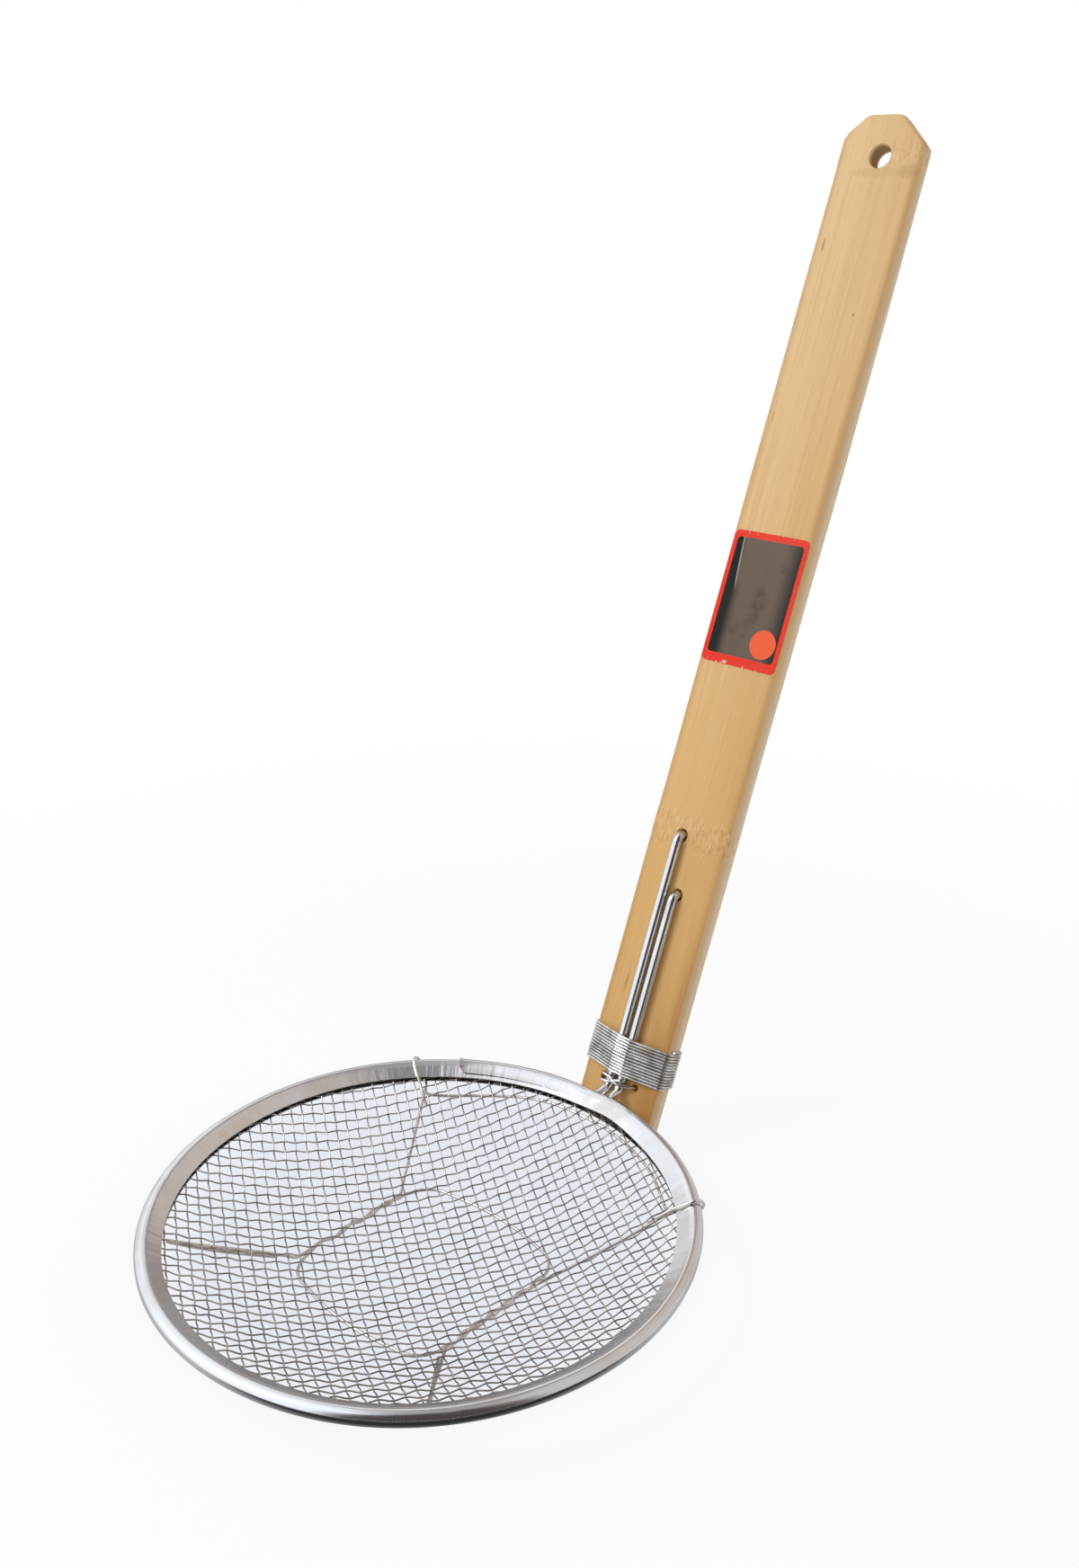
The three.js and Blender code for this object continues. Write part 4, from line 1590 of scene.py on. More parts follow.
@dataclass
class Rim:
    """Steel strip folded over the hoop wire and the mesh edge, lapped near the handle.

    Attributes:
        upper_lip, lower_lip: Radius and height of each lip's edge.
        middle, bead: Middle of the fold round the hoop wire, and its outer radius.
        lap_from, lap_to: Angles from the handle where the lap ends and where it runs out.
        lap_inset: Distance of the lap's edge from the rim's inner edge.
        lap_reach: Share of the strip's section that the lap covers.
        lap_sheet, lap_gap: Height of the lap's upper and lower side over the strip.
        lap_lift, lap_fall: Gap under its edges, and how far from its side and its end that closes.
        lap_thin: Share of its thickness where it runs out, and the angle over which it gets full.
        waves: Size, number and turn of the slight waves round the rim.
        dents: Angle, radius, size and depth of each dent.
    """

    hoop: HoopWire
    upper_lip: tuple[float, float] = (BowlShape.rim_inside, 20.8)
    lower_lip: tuple[float, float] = (82.0, 18.3)
    middle: tuple[float, float] = (87.1, 21.5)
    bead: float = 2.6
    sheet: float = 0.29
    steps: int = 420
    room: float = 0.4
    sharp: float = 45.0
    lap_from: float = 37.7
    lap_to: float = 5.0
    lap_radius: float = 87.0
    lap_corner: float = 3.2
    lap_inset: float = 1.5
    lap_reach: float = 0.62
    lap_sheet: float = 0.36
    lap_lift: float = 0.35
    lap_fall: tuple[float, float] = (1.2, 1.6)
    lap_thin: tuple[float, float] = (0.05, 10.0)
    lap_gap: float = 0.01
    waves: tuple[Place, ...] = ((0.1, 2.0, 0.6), (0.05, 7.0, 0.0))
    dents: tuple[tuple[float, float, float, float], ...] = (
        (-1.5, 84.6, 2.0, 0.35), (-4.5, 86.0, 1.7, 0.4), (-7.5, 84.9, 2.2, 0.3),
        (-10.5, 86.4, 1.8, 0.2), (3.5, 85.6, 2.0, 0.25), (-7.0, 81.6, 11.0, -1.1),
        (-128.0, 88.0, 3.0, 0.12), (150.0, 86.2, 3.5, 0.15),
    )

    def fold_line(self, inset: float) -> Points:
        """Draw the strip's section from the lower lip round the hoop wire to the upper lip.

        Args:
            inset: Depth under the strip's outer side.

        Returns:
            Radius and height of each point.
        """
        upper = np.array(self.upper_lip) - (0.0, inset)
        lower = np.array(self.lower_lip) + (0.0, inset)
        middle, radius = np.array(self.middle), self.bead - inset

        def touching(lip: Points, side: float) -> float:
            """Give the angle where a straight line from a lip touches the fold.

            Args:
                lip: Radius and height of a lip's edge.
                side: 1 for the upper lip and -1 for the lower.

            Returns:
                The angle in radians.
            """
            away = lip - middle
            angle = math.atan2(away[1], away[0]) - side * math.acos(radius / np.hypot(*away))
            return angle % (2 * math.pi) - (2 * math.pi if side < 0 else 0.0)

        angles = np.linspace(touching(lower, -1.0), touching(upper, 1.0), 22)
        fold = middle + radius * np.stack([np.cos(angles), np.sin(angles)], 1)
        flat = [fold[-1] + (upper - fold[-1]) * share for share in (0.25, 0.5, 0.75)]
        return np.concatenate([[lower], fold, flat, [upper]])

    def ring_points(self, degrees: float, places: Points) -> Points:
        """Put points at an angle round the bowl's axis, pushed in by the dents and slight waves.

        Args:
            degrees: Angle round the rim.
            places: Radius and height of points.

        Returns:
            Their places in the frame.
        """
        angle = math.radians(degrees)
        radius, height = places.T.copy()
        for size, number, turn in self.waves:
            radius += size * math.sin(angle * number + turn)
        top = places[:, 1] > self.upper_lip[1] - 1.5 * self.sheet
        for dent, dent_radius, size, depth in self.dents:
            arc = math.radians(degrees - dent) * self.hoop.radius
            near = np.exp(-(arc**2 + (places[:, 0] - dent_radius) ** 2) / size**2)
            height -= depth * near * top
        axis = self.hoop.datum.axis
        return np.stack([axis + radius * math.cos(angle), radius * math.sin(angle), height], 1)

    def band(self) -> Mesh:
        """Draw the folded strip all round.

        Returns:
            The closed mesh.
        """
        outline = np.concatenate([self.fold_line(0.0), self.fold_line(self.sheet)[::-1]])
        angles = np.linspace(-180, 180, self.steps, endpoint=False)
        points = np.concatenate([self.ring_points(angle, outline) for angle in angles])
        return face_mesh("band", points, ring_faces(self.steps, len(outline), closed=True))

    def lap(self) -> Mesh:
        """Draw the strip's lapped end, with a round corner, lying on the strip below it.

        Returns:
            The closed mesh.
        """
        outer = self.fold_line(0.0)[::-1]
        lengths = np.concatenate([[0], np.cumsum(np.hypot(*np.diff(outer, axis=0).T))])
        along = np.gradient(outer, lengths, axis=0)
        normals = np.stack([-along[:, 1], along[:, 0]], 1)
        normals /= np.hypot(*normals.T)[:, None]
        normals *= np.sign(normals[0, 1])
        corner = math.degrees(self.lap_corner / self.lap_radius)
        turned = self.lap_from - np.linspace(0, 1, 13) ** 2 * corner
        straight = np.linspace(self.lap_from - corner, self.lap_to, 70)[1:]
        (side_fall, end_fall), (thinnest, run_out) = self.lap_fall, self.lap_thin
        upper, lower = [], []
        for degrees in np.concatenate([turned, straight]):
            run = math.radians(self.lap_from - degrees) * self.lap_radius
            short = max(0.0, self.lap_corner - run)
            cut = self.lap_corner - math.sqrt(max(0.0, self.lap_corner**2 - short**2))
            places = np.linspace(self.lap_inset + cut, lengths[-1] * self.lap_reach, 24)
            spots, ways = (
                np.stack([np.interp(places, lengths, column) for column in grid.T], 1)
                for grid in (outer, normals)
            )
            thin = min(1.0, thinnest + (degrees - self.lap_to) / run_out)
            edge = np.exp(-np.minimum((places - places[0]) / side_fall, run / end_fall))
            lift = self.lap_lift * thin * edge[:, None]
            for rows, gap in ((lower, self.lap_gap), (upper, self.lap_sheet * thin)):
                rows.append(self.ring_points(degrees, spots + ways * (gap + lift)))
        return sheet_mesh("rim_lap", np.array(upper), np.array(lower))

    def write_strip(self, mesh: Mesh) -> None:
        """Store each corner's place along the strip as two numbers, and its radius as a third.

        Args:
            mesh: Mesh of the rim or its lap.
        """
        flat = corner_places(mesh)[:, :2] - (self.hoop.datum.axis, 0.0)
        radius = np.hypot(*flat.T)[:, None]
        store(mesh, "strip", np.concatenate([flat / radius * self.hoop.radius, radius], 1))

    def build(self, tree: WireTree, finish: Material) -> list[Piece]:
        """Make the rim and its lapped end and dress them.

        Args:
            tree: Tree that draws wires, for the notches at the legs.
            finish: Their material.

        Returns:
            The finished pieces.
        """
        band = self.band()
        for notch in self.hoop.notches(tree, self.room):
            band = cut_away(band, notch)
        pieces = []
        for name, mesh in (("rim", band), ("rim_lap", self.lap())):
            self.write_strip(shaded(mesh, self.sharp))
            pieces.append(dressed(name, mesh, finish, Slot.RIM, "rim_band"))
        return pieces


@dataclass
class MeshBowl:
    """Plain woven wire mesh, pressed into the bowl's shape, its edge in the rim's fold.

    Attributes:
        crimp: Height of the crimp, each way.
        turn: Direction of the weft wires, in degrees.
        weft_bow, warp_bow: Bow of each family's wires, per metre.
        weft_skew, warp_skew: Slope of each family's wires.
        draw_in: Share by which the mesh is drawn in at the rim.
        half_count: Wires on each side of the middle.
        steps: Points on a wire from one crossing to the next.
    """

    datum: Datum
    shape: BowlShape
    wire: float = 0.5
    weft_spacing: float = 3.856
    warp_spacing: float = 3.881
    crimp: float = 0.34
    turn: float = -31.1
    weft_bow: float = 0.26
    weft_skew: float = 0.0217
    warp_bow: float = 0.14
    warp_skew: float = 0.017
    draw_in: float = 0.016
    wander: float = 0.7
    seed: float = 4.0
    trim: float = 84.2
    half_count: int = 28
    steps: int = 4
    sides: int = 6

    def build(self, tree: WeaveTree, finish: Material) -> list[Piece]:
        """Make both families of wires and dress them.

        Args:
            tree: Tree that weaves wires.
            finish: Their material.

        Returns:
            The finished pieces.
        """
        shape, pieces = self.shape, []
        spacings = (self.weft_spacing, self.warp_spacing)
        for family in Family:
            own, other = spacings[::-1] if family is Family.WARP else spacings
            lengths = {
                "Wire spacing": own,
                "Crossing spacing": other,
                "Wire diameter": self.wire,
                "Crimp": self.crimp,
                "Wander": self.wander,
                "Bowl axis": self.datum.axis,
                "Bowl floor": shape.floor,
                "Bowl depth": shape.depth,
                "Bottom radius": shape.bottom,
                "Rim inside": shape.rim_inside,
                "Trim radius": self.trim,
            }
            sizes = {
                **{key: length * MM for key, length in lengths.items()},
                "Half count": self.half_count,
                "Steps": self.steps,
                "Warp family": family.value,
                "Turn": math.radians(self.turn),
                "Weft bow": self.weft_bow,
                "Weft skew": self.weft_skew,
                "Warp bow": self.warp_bow,
                "Warp skew": self.warp_skew,
                "Draw in": self.draw_in / (shape.rim_inside * MM) ** 2,
                "Seed": self.seed,
                "Bowl curve": shape.curve,
                "Sides": self.sides,
                "Finish": finish,
            }
            name = "mesh_" + family.name.lower()
            mesh = tree.grow(name, line_mesh(np.zeros((1, 3))), sizes)
            pieces.append(finished(name, mesh, Slot.MESH, "mesh_bowl"))
        return pieces


@dataclass(frozen=True)
class Rib:
    """Way of a rib: its side, its angles at the rim, and where it leaves the ring along X.

    Attributes:
        side: Side of the handle's plane.
        back: Angle at the rim's far side, in degrees from the handle.
        front: Angle at the handle's side.
        leaves: Where it leaves the ring for the far side and for the handle's side.
    """

    side: Side
    back: float
    front: float
    leaves: tuple[float, float]


@dataclass
class Underframe:
    """Wires under the bowl: the ring it stands on, two ribs twisted round its sides, and a stay.

    Attributes:
        half, corner: Half length and half width of the ring, and the radius of its corners.
        ring_bow: Bow of the ring's two free sides.
        twist: Half distance between the twisted wires, sideways and upright.
        twist_share: Share of the ring's side along which a rib is twisted.
        doubled_gap: Distance of a rib's doubled end from it, in wires.
        doubled_turn: Half turns of that end round the rib.
        hook_turn: Angle by which a hook crosses the rim beyond its rib.
        hook_start: Where a hook begins: outwards of the upper lip, and below the lower one.
        hook_sweep: Half turns of a hook round the rim, and how far below it they begin.
        hook_over: Its way over the rim: outwards of the lip, angle beyond the turn, and height.
        hook_down: Its way down: radius, angle beyond the rib, and height over the mesh.
        hook_tip: Its end under the mesh, in the same way.
        stay: Angle and share of the radius inside the rim, along the stay.
    """

    rim: Rim
    shape: BowlShape
    wire: float = 1.05
    sides: int = 12
    half: tuple[float, float] = (32.0, 32.0)
    corner: float = 11.0
    ring_bow: float = 2.5
    twist_turns: int = 3
    twist: tuple[float, float] = (0.62, 0.56)
    twist_height: float = 1.15
    twist_share: float = 0.85
    ribs: tuple[Rib, ...] = (
        Rib(Side.LEFT, 139.5, 46.0, (-26.0, 20.0)),
        Rib(Side.RIGHT, 132.3, 43.2, (-22.0, 17.5)),
    )
    doubled_gap: float = 1.15
    doubled_turn: float = 0.7
    hook_turn: float = 2.9
    hook_room: float = 0.35
    hook_start: tuple[float, float] = (1.6, 0.1)
    hook_sweep: tuple[float, float] = (0.95, 0.45)
    hook_over: tuple[Place, ...] = ((2.6, -0.2, 2.5), (0.2, -0.6, 1.0))
    hook_down: tuple[Place, ...] = ((78.8, 1.5, 0.9), (76.0, 0.9, -0.2))
    hook_tip: Place = (73.0, -0.2, -0.9)
    rib_step: float = 0.9
    stay_step: float = 1.5
    stay: tuple[tuple[float, float], ...] = (
        (46.3, 0.95), (44.5, 0.938), (39.5, 0.934), (33, 0.942), (27, 0.954), (20, 0.972),
        (14, 0.982), (5, 0.985), (-10, 0.985), (-26, 0.98), (-41.5, 0.972),
    )

    @property
    def datum(self) -> Datum:
        """Where the bowl lies."""
        return self.rim.hoop.datum

    @property
    def run(self) -> float:
        """Half length of the twisted stretch on a side of the ring."""
        return self.half[0] - self.corner

    def twisted(self, share: float, other: float) -> tuple[float, float]:
        """Give the sideways and upright place of a wire in the twist.

        Args:
            share: Share of the way along the twist.
            other: 1 for the rib and -1 for the ring's wire.

        Returns:
            Distance outwards from the ring's line, and height.
        """
        phase = 2 * math.pi * self.twist_turns * share
        side, up = self.twist
        out = side + other * side * math.cos(phase)
        return out, self.twist_height + other * up * math.sin(phase)

    def ring_line(self) -> Points:
        """Draw the ring: two twisted sides, four corners and two bowed sides.

        Returns:
            Points round the ring.
        """
        x, half, low = self.run, self.half[1], self.wire / 2
        y = half - self.corner

        def arc(middle_x: float, middle_y: float, start: float) -> list[Place]:
            """Draw a corner from a direction in degrees, a quarter turn on.

            Args:
                middle_x: Place of its middle along X.
                middle_y: Place of its middle along Y.
                start: The direction.

            Returns:
                Places along the corner.
            """
            return [
                (middle_x + self.corner * math.cos(t), middle_y + self.corner * math.sin(t), low)
                for t in np.radians(np.linspace(start, start + 90, 9))[1:-1]
            ]

        places = []
        for sign in (-1, 1):
            for share in np.linspace(0, 1, 60):
                out, up = self.twisted(share, -1.0)
                places.append((-sign * x * (2 * share - 1), sign * (half + out), up))
            places += arc(-sign * x, sign * y, 90 * sign)
            for share in np.linspace(0, 1, 16):
                bow = self.ring_bow * 4 * share * (1 - share)
                places.append((-sign * (self.half[0] + bow), sign * (y - 2 * y * share), low))
            places += arc(-sign * x, -sign * y, 180 if sign > 0 else 0)
        return np.array(places) + (self.datum.axis, 0.0, 0.0)

    def arm(self, ring: Points, rim: Points) -> list[Points]:
        """Draw an arm of a rib from the ring up under the mesh to the rim.

        Args:
            ring: Where it leaves the ring, seen from above.
            rim: Where it ends at the rim, seen from above.

        Returns:
            Places along the arm.
        """
        gap = self.shape.under(float(np.hypot(*ring)), self.wire) - self.twist_height
        places = []
        for share in np.linspace(0, 1, 14):
            x, y = ring + (rim - ring) * share
            height = self.shape.under(math.hypot(x, y), self.wire) - gap * (1 - share) ** 3
            places.append(np.array([self.datum.axis + x, y, height]))
        return places

    def doubled(self, arm: Sequence[Points]) -> list[Points]:
        """Draw the wire's end, which lies loosely twisted along an arm of its own rib.

        Args:
            arm: Places along the arm.

        Returns:
            Places along the end.
        """
        gap = self.doubled_gap * self.wire
        x, y, _ = arm[-1] - arm[0]
        side = np.array([-y, x, 0.0]) / math.hypot(x, y)
        places = []
        for i, place in enumerate(arm[2:]):
            phase = i / (len(arm) - 3) * self.doubled_turn * math.pi
            drop = gap * abs(math.sin(phase))
            places.append(place + side * math.cos(phase) * gap - (0.0, 0.0, drop))
        return places

    def hook(self, front: float) -> list[Points]:
        """Draw a hook: under the rim, round its outside and over it, down to the mesh again.

        Args:
            front: Angle of the rib at the rim, in degrees.

        Returns:
            Places along the hook.
        """
        datum, shape, (radius, height) = self.datum, self.shape, self.rim.middle
        lip, lip_top = self.rim.upper_lip
        around = self.rim.bead + self.wire / 2 + self.hook_room
        over = front + self.hook_turn
        (inwards, below), (sweep, back) = self.hook_start, self.hook_sweep
        way = [(lip + inwards, front, self.rim.lower_lip[1] - self.wire / 2 - below)]
        for share in np.linspace(0, 1, 12):
            angle = math.pi * (share * sweep - back)
            up = height + around * math.sin(angle)
            way.append((radius + around * math.cos(angle), front + (over - front) * share, up))
        way += [(lip + out, over + on, lip_top + up) for out, on, up in self.hook_over]
        way += [(far, front + on, shape.height(far) + up) for far, on, up in self.hook_down]
        far, on, up = self.hook_tip
        way.append((far, front + on, shape.under(far, self.wire) + up))
        return [datum.round_axis(*place) for place in way]

    def rib_line(self, rib: Rib) -> Points:
        """Draw a rib: doubled from the rim, twisted along the ring, and over the rim as a hook.

        Args:
            rib: Way of the rib.

        Returns:
            Points along the rib.
        """
        edge = self.rim.upper_lip[0] - self.wire
        arms = []
        for degrees, leave in zip((rib.back, rib.front), rib.leaves):
            angle = math.radians(degrees)
            rim = edge * np.array([math.cos(angle), math.sin(angle)])
            arms.append(self.arm(np.array([leave, self.half[1] + 2 * self.twist[0]]), rim))
        run = []
        for share in np.linspace(0, 1, 60):
            out, up = self.twisted(share, 1.0)
            x = self.datum.axis + self.run * self.twist_share * (2 * share - 1)
            run.append((x, self.half[1] + out, up))
        back, front = arms
        whole = [*self.doubled(back), *back[::-1], *run, *front, *self.hook(rib.front)]
        return smooth_line(whole, self.rib_step) * (1, rib.side.value, 1)

    def stay_line(self) -> Points:
        """Draw the stay close under the mesh.

        Returns:
            Points along the stay.
        """
        places = []
        for degrees, share in self.stay:
            radius = share * self.rim.upper_lip[0]
            height = self.shape.under(radius, self.wire)
            places.append(self.datum.round_axis(radius, degrees, height))
        return smooth_line(places, self.stay_step)

    def build(self, tree: WireTree, finish: Material) -> list[Piece]:
        """Make the wires and dress them.

        Args:
            tree: Tree that draws wires.
            finish: Their material.

        Returns:
            The finished pieces.
        """
        wires = [("ring", "base_ring", self.ring_line(), True)]
        for rib in self.ribs:
            side = rib.side.name.lower()
            wires.append(("rib_" + side, "rib_wire_" + side, self.rib_line(rib), False))
        wires.append(("stay", "stay_wire", self.stay_line(), False))
        return [
            tree.piece(name, line, self.wire, self.sides, finish, node, closed)
            for name, node, line, closed in wires
        ]


@dataclass
class Binding:
    """Wire wound tightly round the handle and both legs, and the tie below it.

    Attributes:
        seed, uneven: Seed of the uneven turns, and how uneven they are.
        tie_back: The tie's depth in the holes.
        gap, tie_gap: Gap under the turns, and under the tie on the legs and at the back.
    """

    hoop: HoopWire
    wire: float = 0.92
    sides: int = 10
    pitch: float = 1.08
    turns: int = 13
    start: float = 5.0
    seed: int = 7
    uneven: float = 0.05
    tie_wire: float = 1.15
    tie_sides: int = 12
    tie_back: float = -4.0
    tie_step: float = 0.5
    gap: float = 0.02
    tie_gap: tuple[float, float] = (0.03, 0.05)

    def tight_round(self, circles: Sequence[Place]) -> Points:
        """Draw a closed line, counter-clockwise, drawn tight round circles given in that order.

        Args:
            circles: Across, out and radius of each circle.

        Returns:
            Places across and out.
        """
        leaving = []
        for (x, y, radius), (nx, ny, other) in zip(circles, [*circles[1:], circles[0]]):
            away = math.atan2(ny - y, nx - x)
            leaving.append(away - math.acos((radius - other) / math.hypot(nx - x, ny - y)))
        places = []
        for i, (x, y, radius) in enumerate(circles):
            first = leaving[i - 1]
            sweep = (leaving[i] - first) % (2 * math.pi)
            for angle in first + np.linspace(0, sweep, 8):
                places.append((x + radius * math.cos(angle), y + radius * math.sin(angle)))
        return np.array(places)

    def binding_line(self) -> Points:
        """Draw the winding as one unbroken wire with slightly uneven turns.

        Returns:
            Points along the winding.
        """
        handle, hoop = self.hoop.handle, self.hoop
        stand = self.wire / 2 + self.gap
        edge = handle.width / 2 - handle.edge
        back = handle.width / 2 - handle.back_edge
        front = float(handle.face_height(np.array([edge]), self.start)[0]) - handle.edge
        rear = handle.back_edge - handle.thickness
        leg = hoop.wire / 2 + stand
        loop = self.tight_round(
            [
                (edge, front, handle.edge + stand),
                *((across, hoop.out, leg) for across, _ in reversed(hoop.legs)),
                (-edge, front, handle.edge + stand),
                (-back, rear, handle.back_edge + stand),
                (back, rear, handle.back_edge + stand),
            ]
        )
        draw = np.random.default_rng(self.seed)
        size, knots = len(loop), self.turns + 2
        uneven = draw.normal(0.0, self.uneven, knots)
        loose = np.abs(draw.normal(0.0, self.uneven, knots))
        places = []
        for i in range(self.turns * size + 1):
            turn = i / size
            shift, off = (np.interp(turn, np.arange(knots), offs) for offs in (uneven, loose))
            across, out = loop[i % size]
            bulge = off * (1 if out > -handle.thickness / 2 else -1)
            places.append((across, self.start + self.pitch * turn + shift, out + bulge))
        return handle.datum.on_handle(places)

    def tie_line(self) -> Points:
        """Draw the tie: through both holes, over the legs, across the back, and over once more.

        Returns:
            Points along the tie.
        """
        handle, hoop = self.hoop.handle, self.hoop
        top = hoop.out + hoop.wire / 2 + self.tie_wire / 2 + self.tie_gap[0]
        rear = -handle.thickness - self.tie_wire / 2 - self.tie_gap[1]
        places = [
            (-3.0, 2.3, rear), (-6.9, 2.3, rear + 0.2), (-7.5, 2.2, self.tie_back),
            (-7.5, 2.4, 0.3), (-6.6, 2.9, top * 0.6), (-4.2, 3.2, top), (-1.4, 2.9, top),
            (0.6, 2.0, top + 0.5), (2.6, 1.5, top), (4.8, 1.7, top * 0.7), (6.6, 1.9, 0.6),
            (7.1, 1.9, self.tie_back), (6.5, 1.7, rear + 0.2), (0.0, 1.0, rear),
            (-6.9, 0.8, rear + 0.2), (-7.5, 0.8, self.tie_back), (-7.4, 0.7, 0.3),
            (-6.4, 0.6, top * 0.6), (-4.2, 0.8, top), (-1.6, 1.3, top), (0.2, 2.1, top + 0.1),
            (2.0, 2.9, top + 0.2), (3.2, 3.3, top + 0.1),
        ]
        return smooth_line(handle.datum.on_handle(places), self.tie_step)

    def build(self, tree: WireTree, finish: Material) -> list[Piece]:
        """Make the winding and the tie and dress them.

        Args:
            tree: Tree that draws wires.
            finish: Their material.

        Returns:
            The finished pieces.
        """
        wound, tied = self.binding_line(), self.tie_line()
        return [
            tree.piece("binding", wound, self.wire, self.sides, finish, "binding_wire"),
            tree.piece("tie", tied, self.tie_wire, self.tie_sides, finish, "neck_tie_wire"),
        ]


# Studio


@dataclass(frozen=True)
class Lamp:
    """A soft lamp: name, place in metres, size, power, and whether steel shows it."""

    name: str
    place: Place
    size: float
    power: float
    mirrored: bool = True
    target: Place = (0.0, 0.0, 0.12)

    def build(self) -> None:
        """Hang the lamp."""
        light = bpy.data.lights.new(self.name, "AREA")
        light.shape = "DISK"
        light.size = self.size
        light.energy = self.power
        lamp = bpy.data.objects.new(self.name, light)
        lamp.location = self.place
        lamp.visible_glossy = self.mirrored
        way = Vector(self.target) - Vector(self.place)
        lamp.rotation_euler = way.to_track_quat("-Z", "Y").to_euler()
        bpy.context.scene.collection.objects.link(lamp)


@dataclass(frozen=True)
class Wall:
    """A part of the room that the steel reflects, with all angles in degrees.

    Attributes:
        way: Its direction, from the handle's side round to the left.
        half: Half its width.
        low: Height of its lower edge above the horizon.
        high: Height of its upper edge.
        colour: Its colour, with strengths above one for lit parts.
        soft: Softness of its lower and upper edge.
        fade: Shares of its half width between which its sides fade out.
    """

    way: float
    half: float
    low: float
    high: float
    colour: Colour
    soft: float = 9.0
    fade: tuple[float, float] = (1.1, 0.7)

    def share(self, nodes: Nodes, way: Sequence[Value]) -> Value:
        """Give how far a direction looks at this wall.

        Args:
            nodes: Where the nodes go.
            way: The three parts of the direction.

        Returns:
            Zero beside the wall and one on it.
        """
        x, y, z = way
        angle = math.radians(self.way)
        along = x * math.cos(angle) + y * math.sin(angle)
        facing = along / nodes.maths("SQRT", 1.0001 - z * z)
        sides = [math.cos(math.radians(self.half * share)) for share in self.fade]
        below, low, top, high = (
            math.sin(math.radians(height))
            for height in (self.low - self.soft, self.low, self.high - self.soft, self.high)
        )
        within = nodes.rising(z, high, top) * nodes.rising(z, below, low)
        return nodes.rising(facing, *sides) * within


@dataclass
class Studio:
    """Pale floor, soft lamps, white surroundings and the camera.

    Attributes:
        eye: Place of the camera, in millimetres.
        right, up: Directions to the picture's right and to its top.
        lens, sensor: Focal length for the sensor's long side, and the length of that side.
        floor, floor_reach: Height of the floor in millimetres, and half its size in metres.
        bowl, bowl_edge: Middle of the shaded floor behind the mesh, in metres, and where it ends.
        front, front_edge: Middle of the floor that the steel reflects as dark, and where it ends.
        near, near_dim: Where the floor's reflection gets full, and its strength at the origin.
        bare, bare_near: Where the floor shows no shadow, and the share of white at the origin.
        ceiling, ceiling_edge: Colour of the ceiling that the steel reflects, and where it begins.
        open_side: Colour of what the steel reflects elsewhere.
    """

    eye: Place = (-345.48, -303.1, 327.95)
    right: Place = (0.6812, -0.7321, 0.0008)
    up: Place = (0.2672, 0.2497, 0.9307)
    lens: float = 35.09
    sensor: float = 36.0
    clip: tuple[float, float] = (0.01, 50.0)
    floor: float = -0.02
    floor_reach: float = 6.0
    floor_paint: Colour = (0.9, 0.91, 0.93, 1.0)
    bowl: Place = (-0.056, 0.0207, 0.0)
    bowl_edge: Ramp = Ramp(0.07, 0.106)
    bowl_shade: Colour = (0.82, 0.85, 0.935, 1.0)
    front: Place = (-0.468, -0.453, 0.0)
    front_edge: Ramp = Ramp(0.49, 0.56)
    front_dark: float = 0.06
    near: Ramp = Ramp(0.15, 0.45)
    near_dim: float = 0.55
    bare: Ramp = Ramp(0.2, 0.5)
    bare_near: float = 0.9
    ambient: Colour = (0.5, 0.5, 0.5, 1.0)
    walls: tuple[Wall, ...] = (
        Wall(0.0, 35.0, -20.0, 78.0, (0.66, 0.61, 0.57, 1.0)),
        Wall(40.0, 22.0, -20.0, 84.0, (0.38, 0.36, 0.36, 1.0)),
        Wall(48.0, 15.0, 32.0, 52.0, (1.0, 0.99, 0.97, 1.0)),
        Wall(148.0, 56.0, -20.0, 84.0, (1.15, 1.2, 1.28, 1.0)),
        Wall(84.0, 26.0, 27.0, 80.0, (1.1, 1.15, 1.2, 1.0)),
        Wall(-70.0, 42.0, -20.0, 84.0, (0.68, 0.65, 0.62, 1.0)),
        Wall(-131.0, 40.0, -20.0, 84.0, (0.08, 0.07, 0.066, 1.0)),
    )
    ceiling: Colour = (0.42, 0.41, 0.42, 1.0)
    ceiling_edge: Ramp = Ramp(0.6, 0.9)
    open_side: Colour = (0.85, 0.85, 0.86, 1.0)
    lamps: tuple[Lamp, ...] = (
        Lamp("key", (-0.95, 0.75, 1.15), 0.8, 10.6),
        Lamp("fill", (0.2, -1.3, 0.9), 0.9, 3.3, False),
    )

    def camera(self) -> None:
        """Set up the camera."""
        data = bpy.data.cameras.new("camera")
        data.sensor_fit = "AUTO"
        data.sensor_width = self.sensor
        data.lens = self.lens
        data.clip_start, data.clip_end = self.clip
        right, up = Vector(self.right).normalized(), Vector(self.up).normalized()
        turn = Matrix((right, up, right.cross(up))).transposed().to_4x4()
        eye = bpy.data.objects.new("camera", data)
        eye.matrix_world = Matrix.Translation(Vector(self.eye) * MM) @ turn
        bpy.context.scene.collection.objects.link(eye)
        bpy.context.scene.camera = eye

    def surroundings(self) -> None:
        """Make white surroundings, with brighter and dimmer sides for the steel to reflect."""
        world = bpy.data.worlds.new("studio")
        bpy.context.scene.world = world
        nodes = emptied(world)
        path = nodes.outputs("ShaderNodeLightPath")
        way = nodes.split(nodes.add("ShaderNodeTexCoord", None, "Generated"))
        walls = [(wall.share(nodes, way), wall.colour) for wall in self.walls]
        ceiling = (self.ceiling_edge.of(way[2]), self.ceiling)
        shown = nodes.layered(self.open_side, [ceiling, *walls])
        light = nodes.blend(path["Is Glossy Ray"], self.ambient, shown)
        seen = nodes.maths("MAXIMUM", path["Is Camera Ray"], path["Is Transmission Ray"])
        background = nodes.add("ShaderNodeBackground", {"Color": nodes.blend(seen, light, WHITE)})
        nodes.node("ShaderNodeOutputWorld", {"Surface": background})

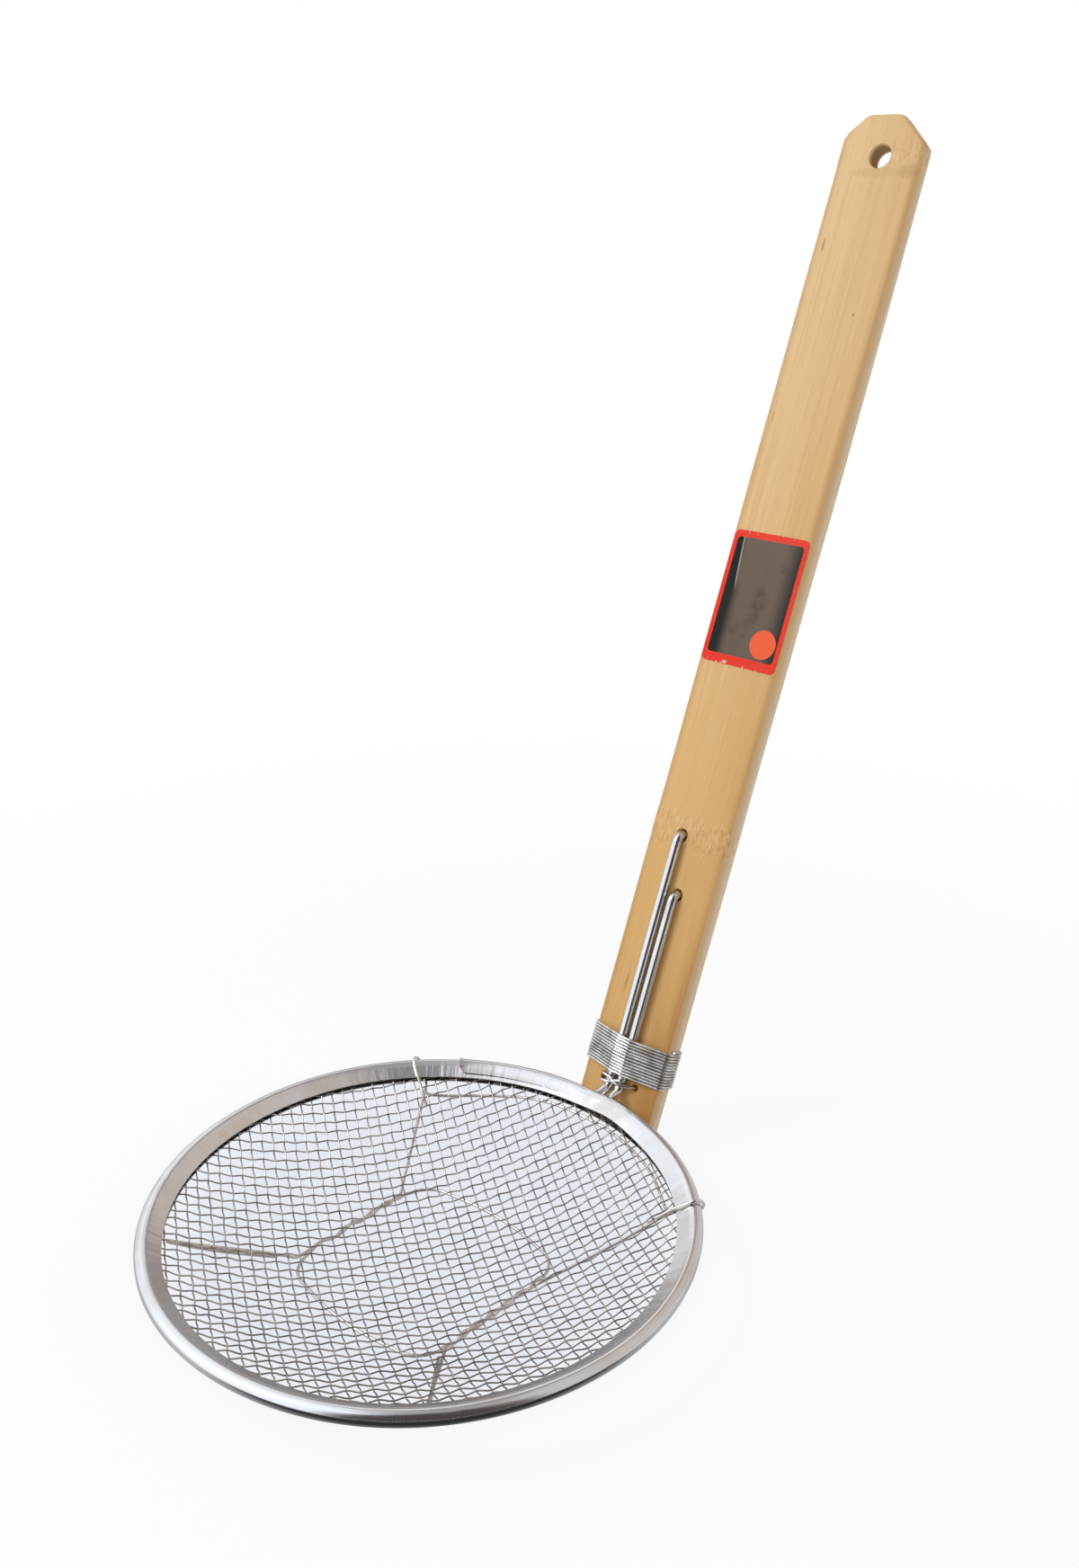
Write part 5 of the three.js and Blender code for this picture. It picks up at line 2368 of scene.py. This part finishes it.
    def floor_finish(self) -> Material:
        """Make the floor's white, a little cooler in the bowl's soft shadow.

        Returns:
            The material.
        """
        material = bpy.data.materials.new("pale_floor")
        nodes = emptied(material)
        path = nodes.outputs("ShaderNodeLightPath")
        place = nodes.add("ShaderNodeTexCoord", None, "Object")
        from_bowl, from_front, away = (
            nodes.vector("DISTANCE", place, middle, output="Value")
            for middle in (self.bowl, self.front, (0.0, 0.0, 0.0))
        )
        glossy = path["Is Glossy Ray"]
        dim = nodes.between(self.near.of(away), self.near_dim, 1.0)
        dim = dim * nodes.between(self.front_edge.of(from_front), self.front_dark, 1.0)
        colour = nodes.blend(self.bowl_edge.of(from_bowl), self.bowl_shade, WHITE)
        glow = nodes.between(glossy, 1.0, dim)
        white = nodes.add("ShaderNodeEmission", {"Color": colour, "Strength": glow})
        matt = nodes.add("ShaderNodeBsdfDiffuse", {"Color": self.floor_paint})
        seen = nodes.maths("MAXIMUM", path["Is Camera Ray"], path["Is Transmission Ray"])
        seen = nodes.maths("MAXIMUM", seen, glossy)
        bare = nodes.between(self.bare.of(away), self.bare_near, 1.0)
        share = seen * nodes.maths("MAXIMUM", bare, glossy)
        mix = nodes.add("ShaderNodeMixShader", {0: share, 1: matt, 2: white})
        nodes.node("ShaderNodeOutputMaterial", {"Surface": mix})
        return material

    def ground(self) -> None:
        """Lay the pale floor."""
        corners = [(-1, -1), (1, -1), (1, 1), (-1, 1)]
        places = [(x * self.floor_reach, y * self.floor_reach, self.floor * MM) for x, y in corners]
        mesh = bpy.data.meshes.new("floor")
        mesh.from_pydata(places, [], [(0, 1, 2, 3)])
        mesh.materials.append(self.floor_finish())
        placed("floor", mesh)

    def build(self) -> None:
        """Set up the whole studio."""
        bpy.context.scene.view_settings.view_transform = "Standard"
        self.camera()
        self.surroundings()
        self.ground()
        for lamp in self.lamps:
            lamp.build()


def main() -> None:
    """Build the strainer piece by piece, then the studio round it."""
    logging.basicConfig(level=logging.INFO, format="%(name)s: %(message)s")
    datum = Datum.from_solids()
    shape = BowlShape()
    wires, weave = WireTree(), WeaveTree()
    handle = BambooHandle(datum)
    handle.build(BambooFinish().material())
    Label(handle).build(LabelFinish().material())
    hoop = HoopWire(handle)
    hoop.build(wires, HOOP_FINISH.material())
    rim = Rim(hoop)
    rim.build(wires, RIM_FINISH.material())
    MeshBowl(datum, shape).build(weave, MESH_FINISH.material())
    Underframe(rim, shape).build(wires, WIRE_FINISH.material())
    Binding(hoop).build(wires, BINDING_FINISH.material())
    Studio().build()
    LOG.info("%d solids in the frame, all dressed", len(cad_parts))


if __name__ == "__main__":
    main()
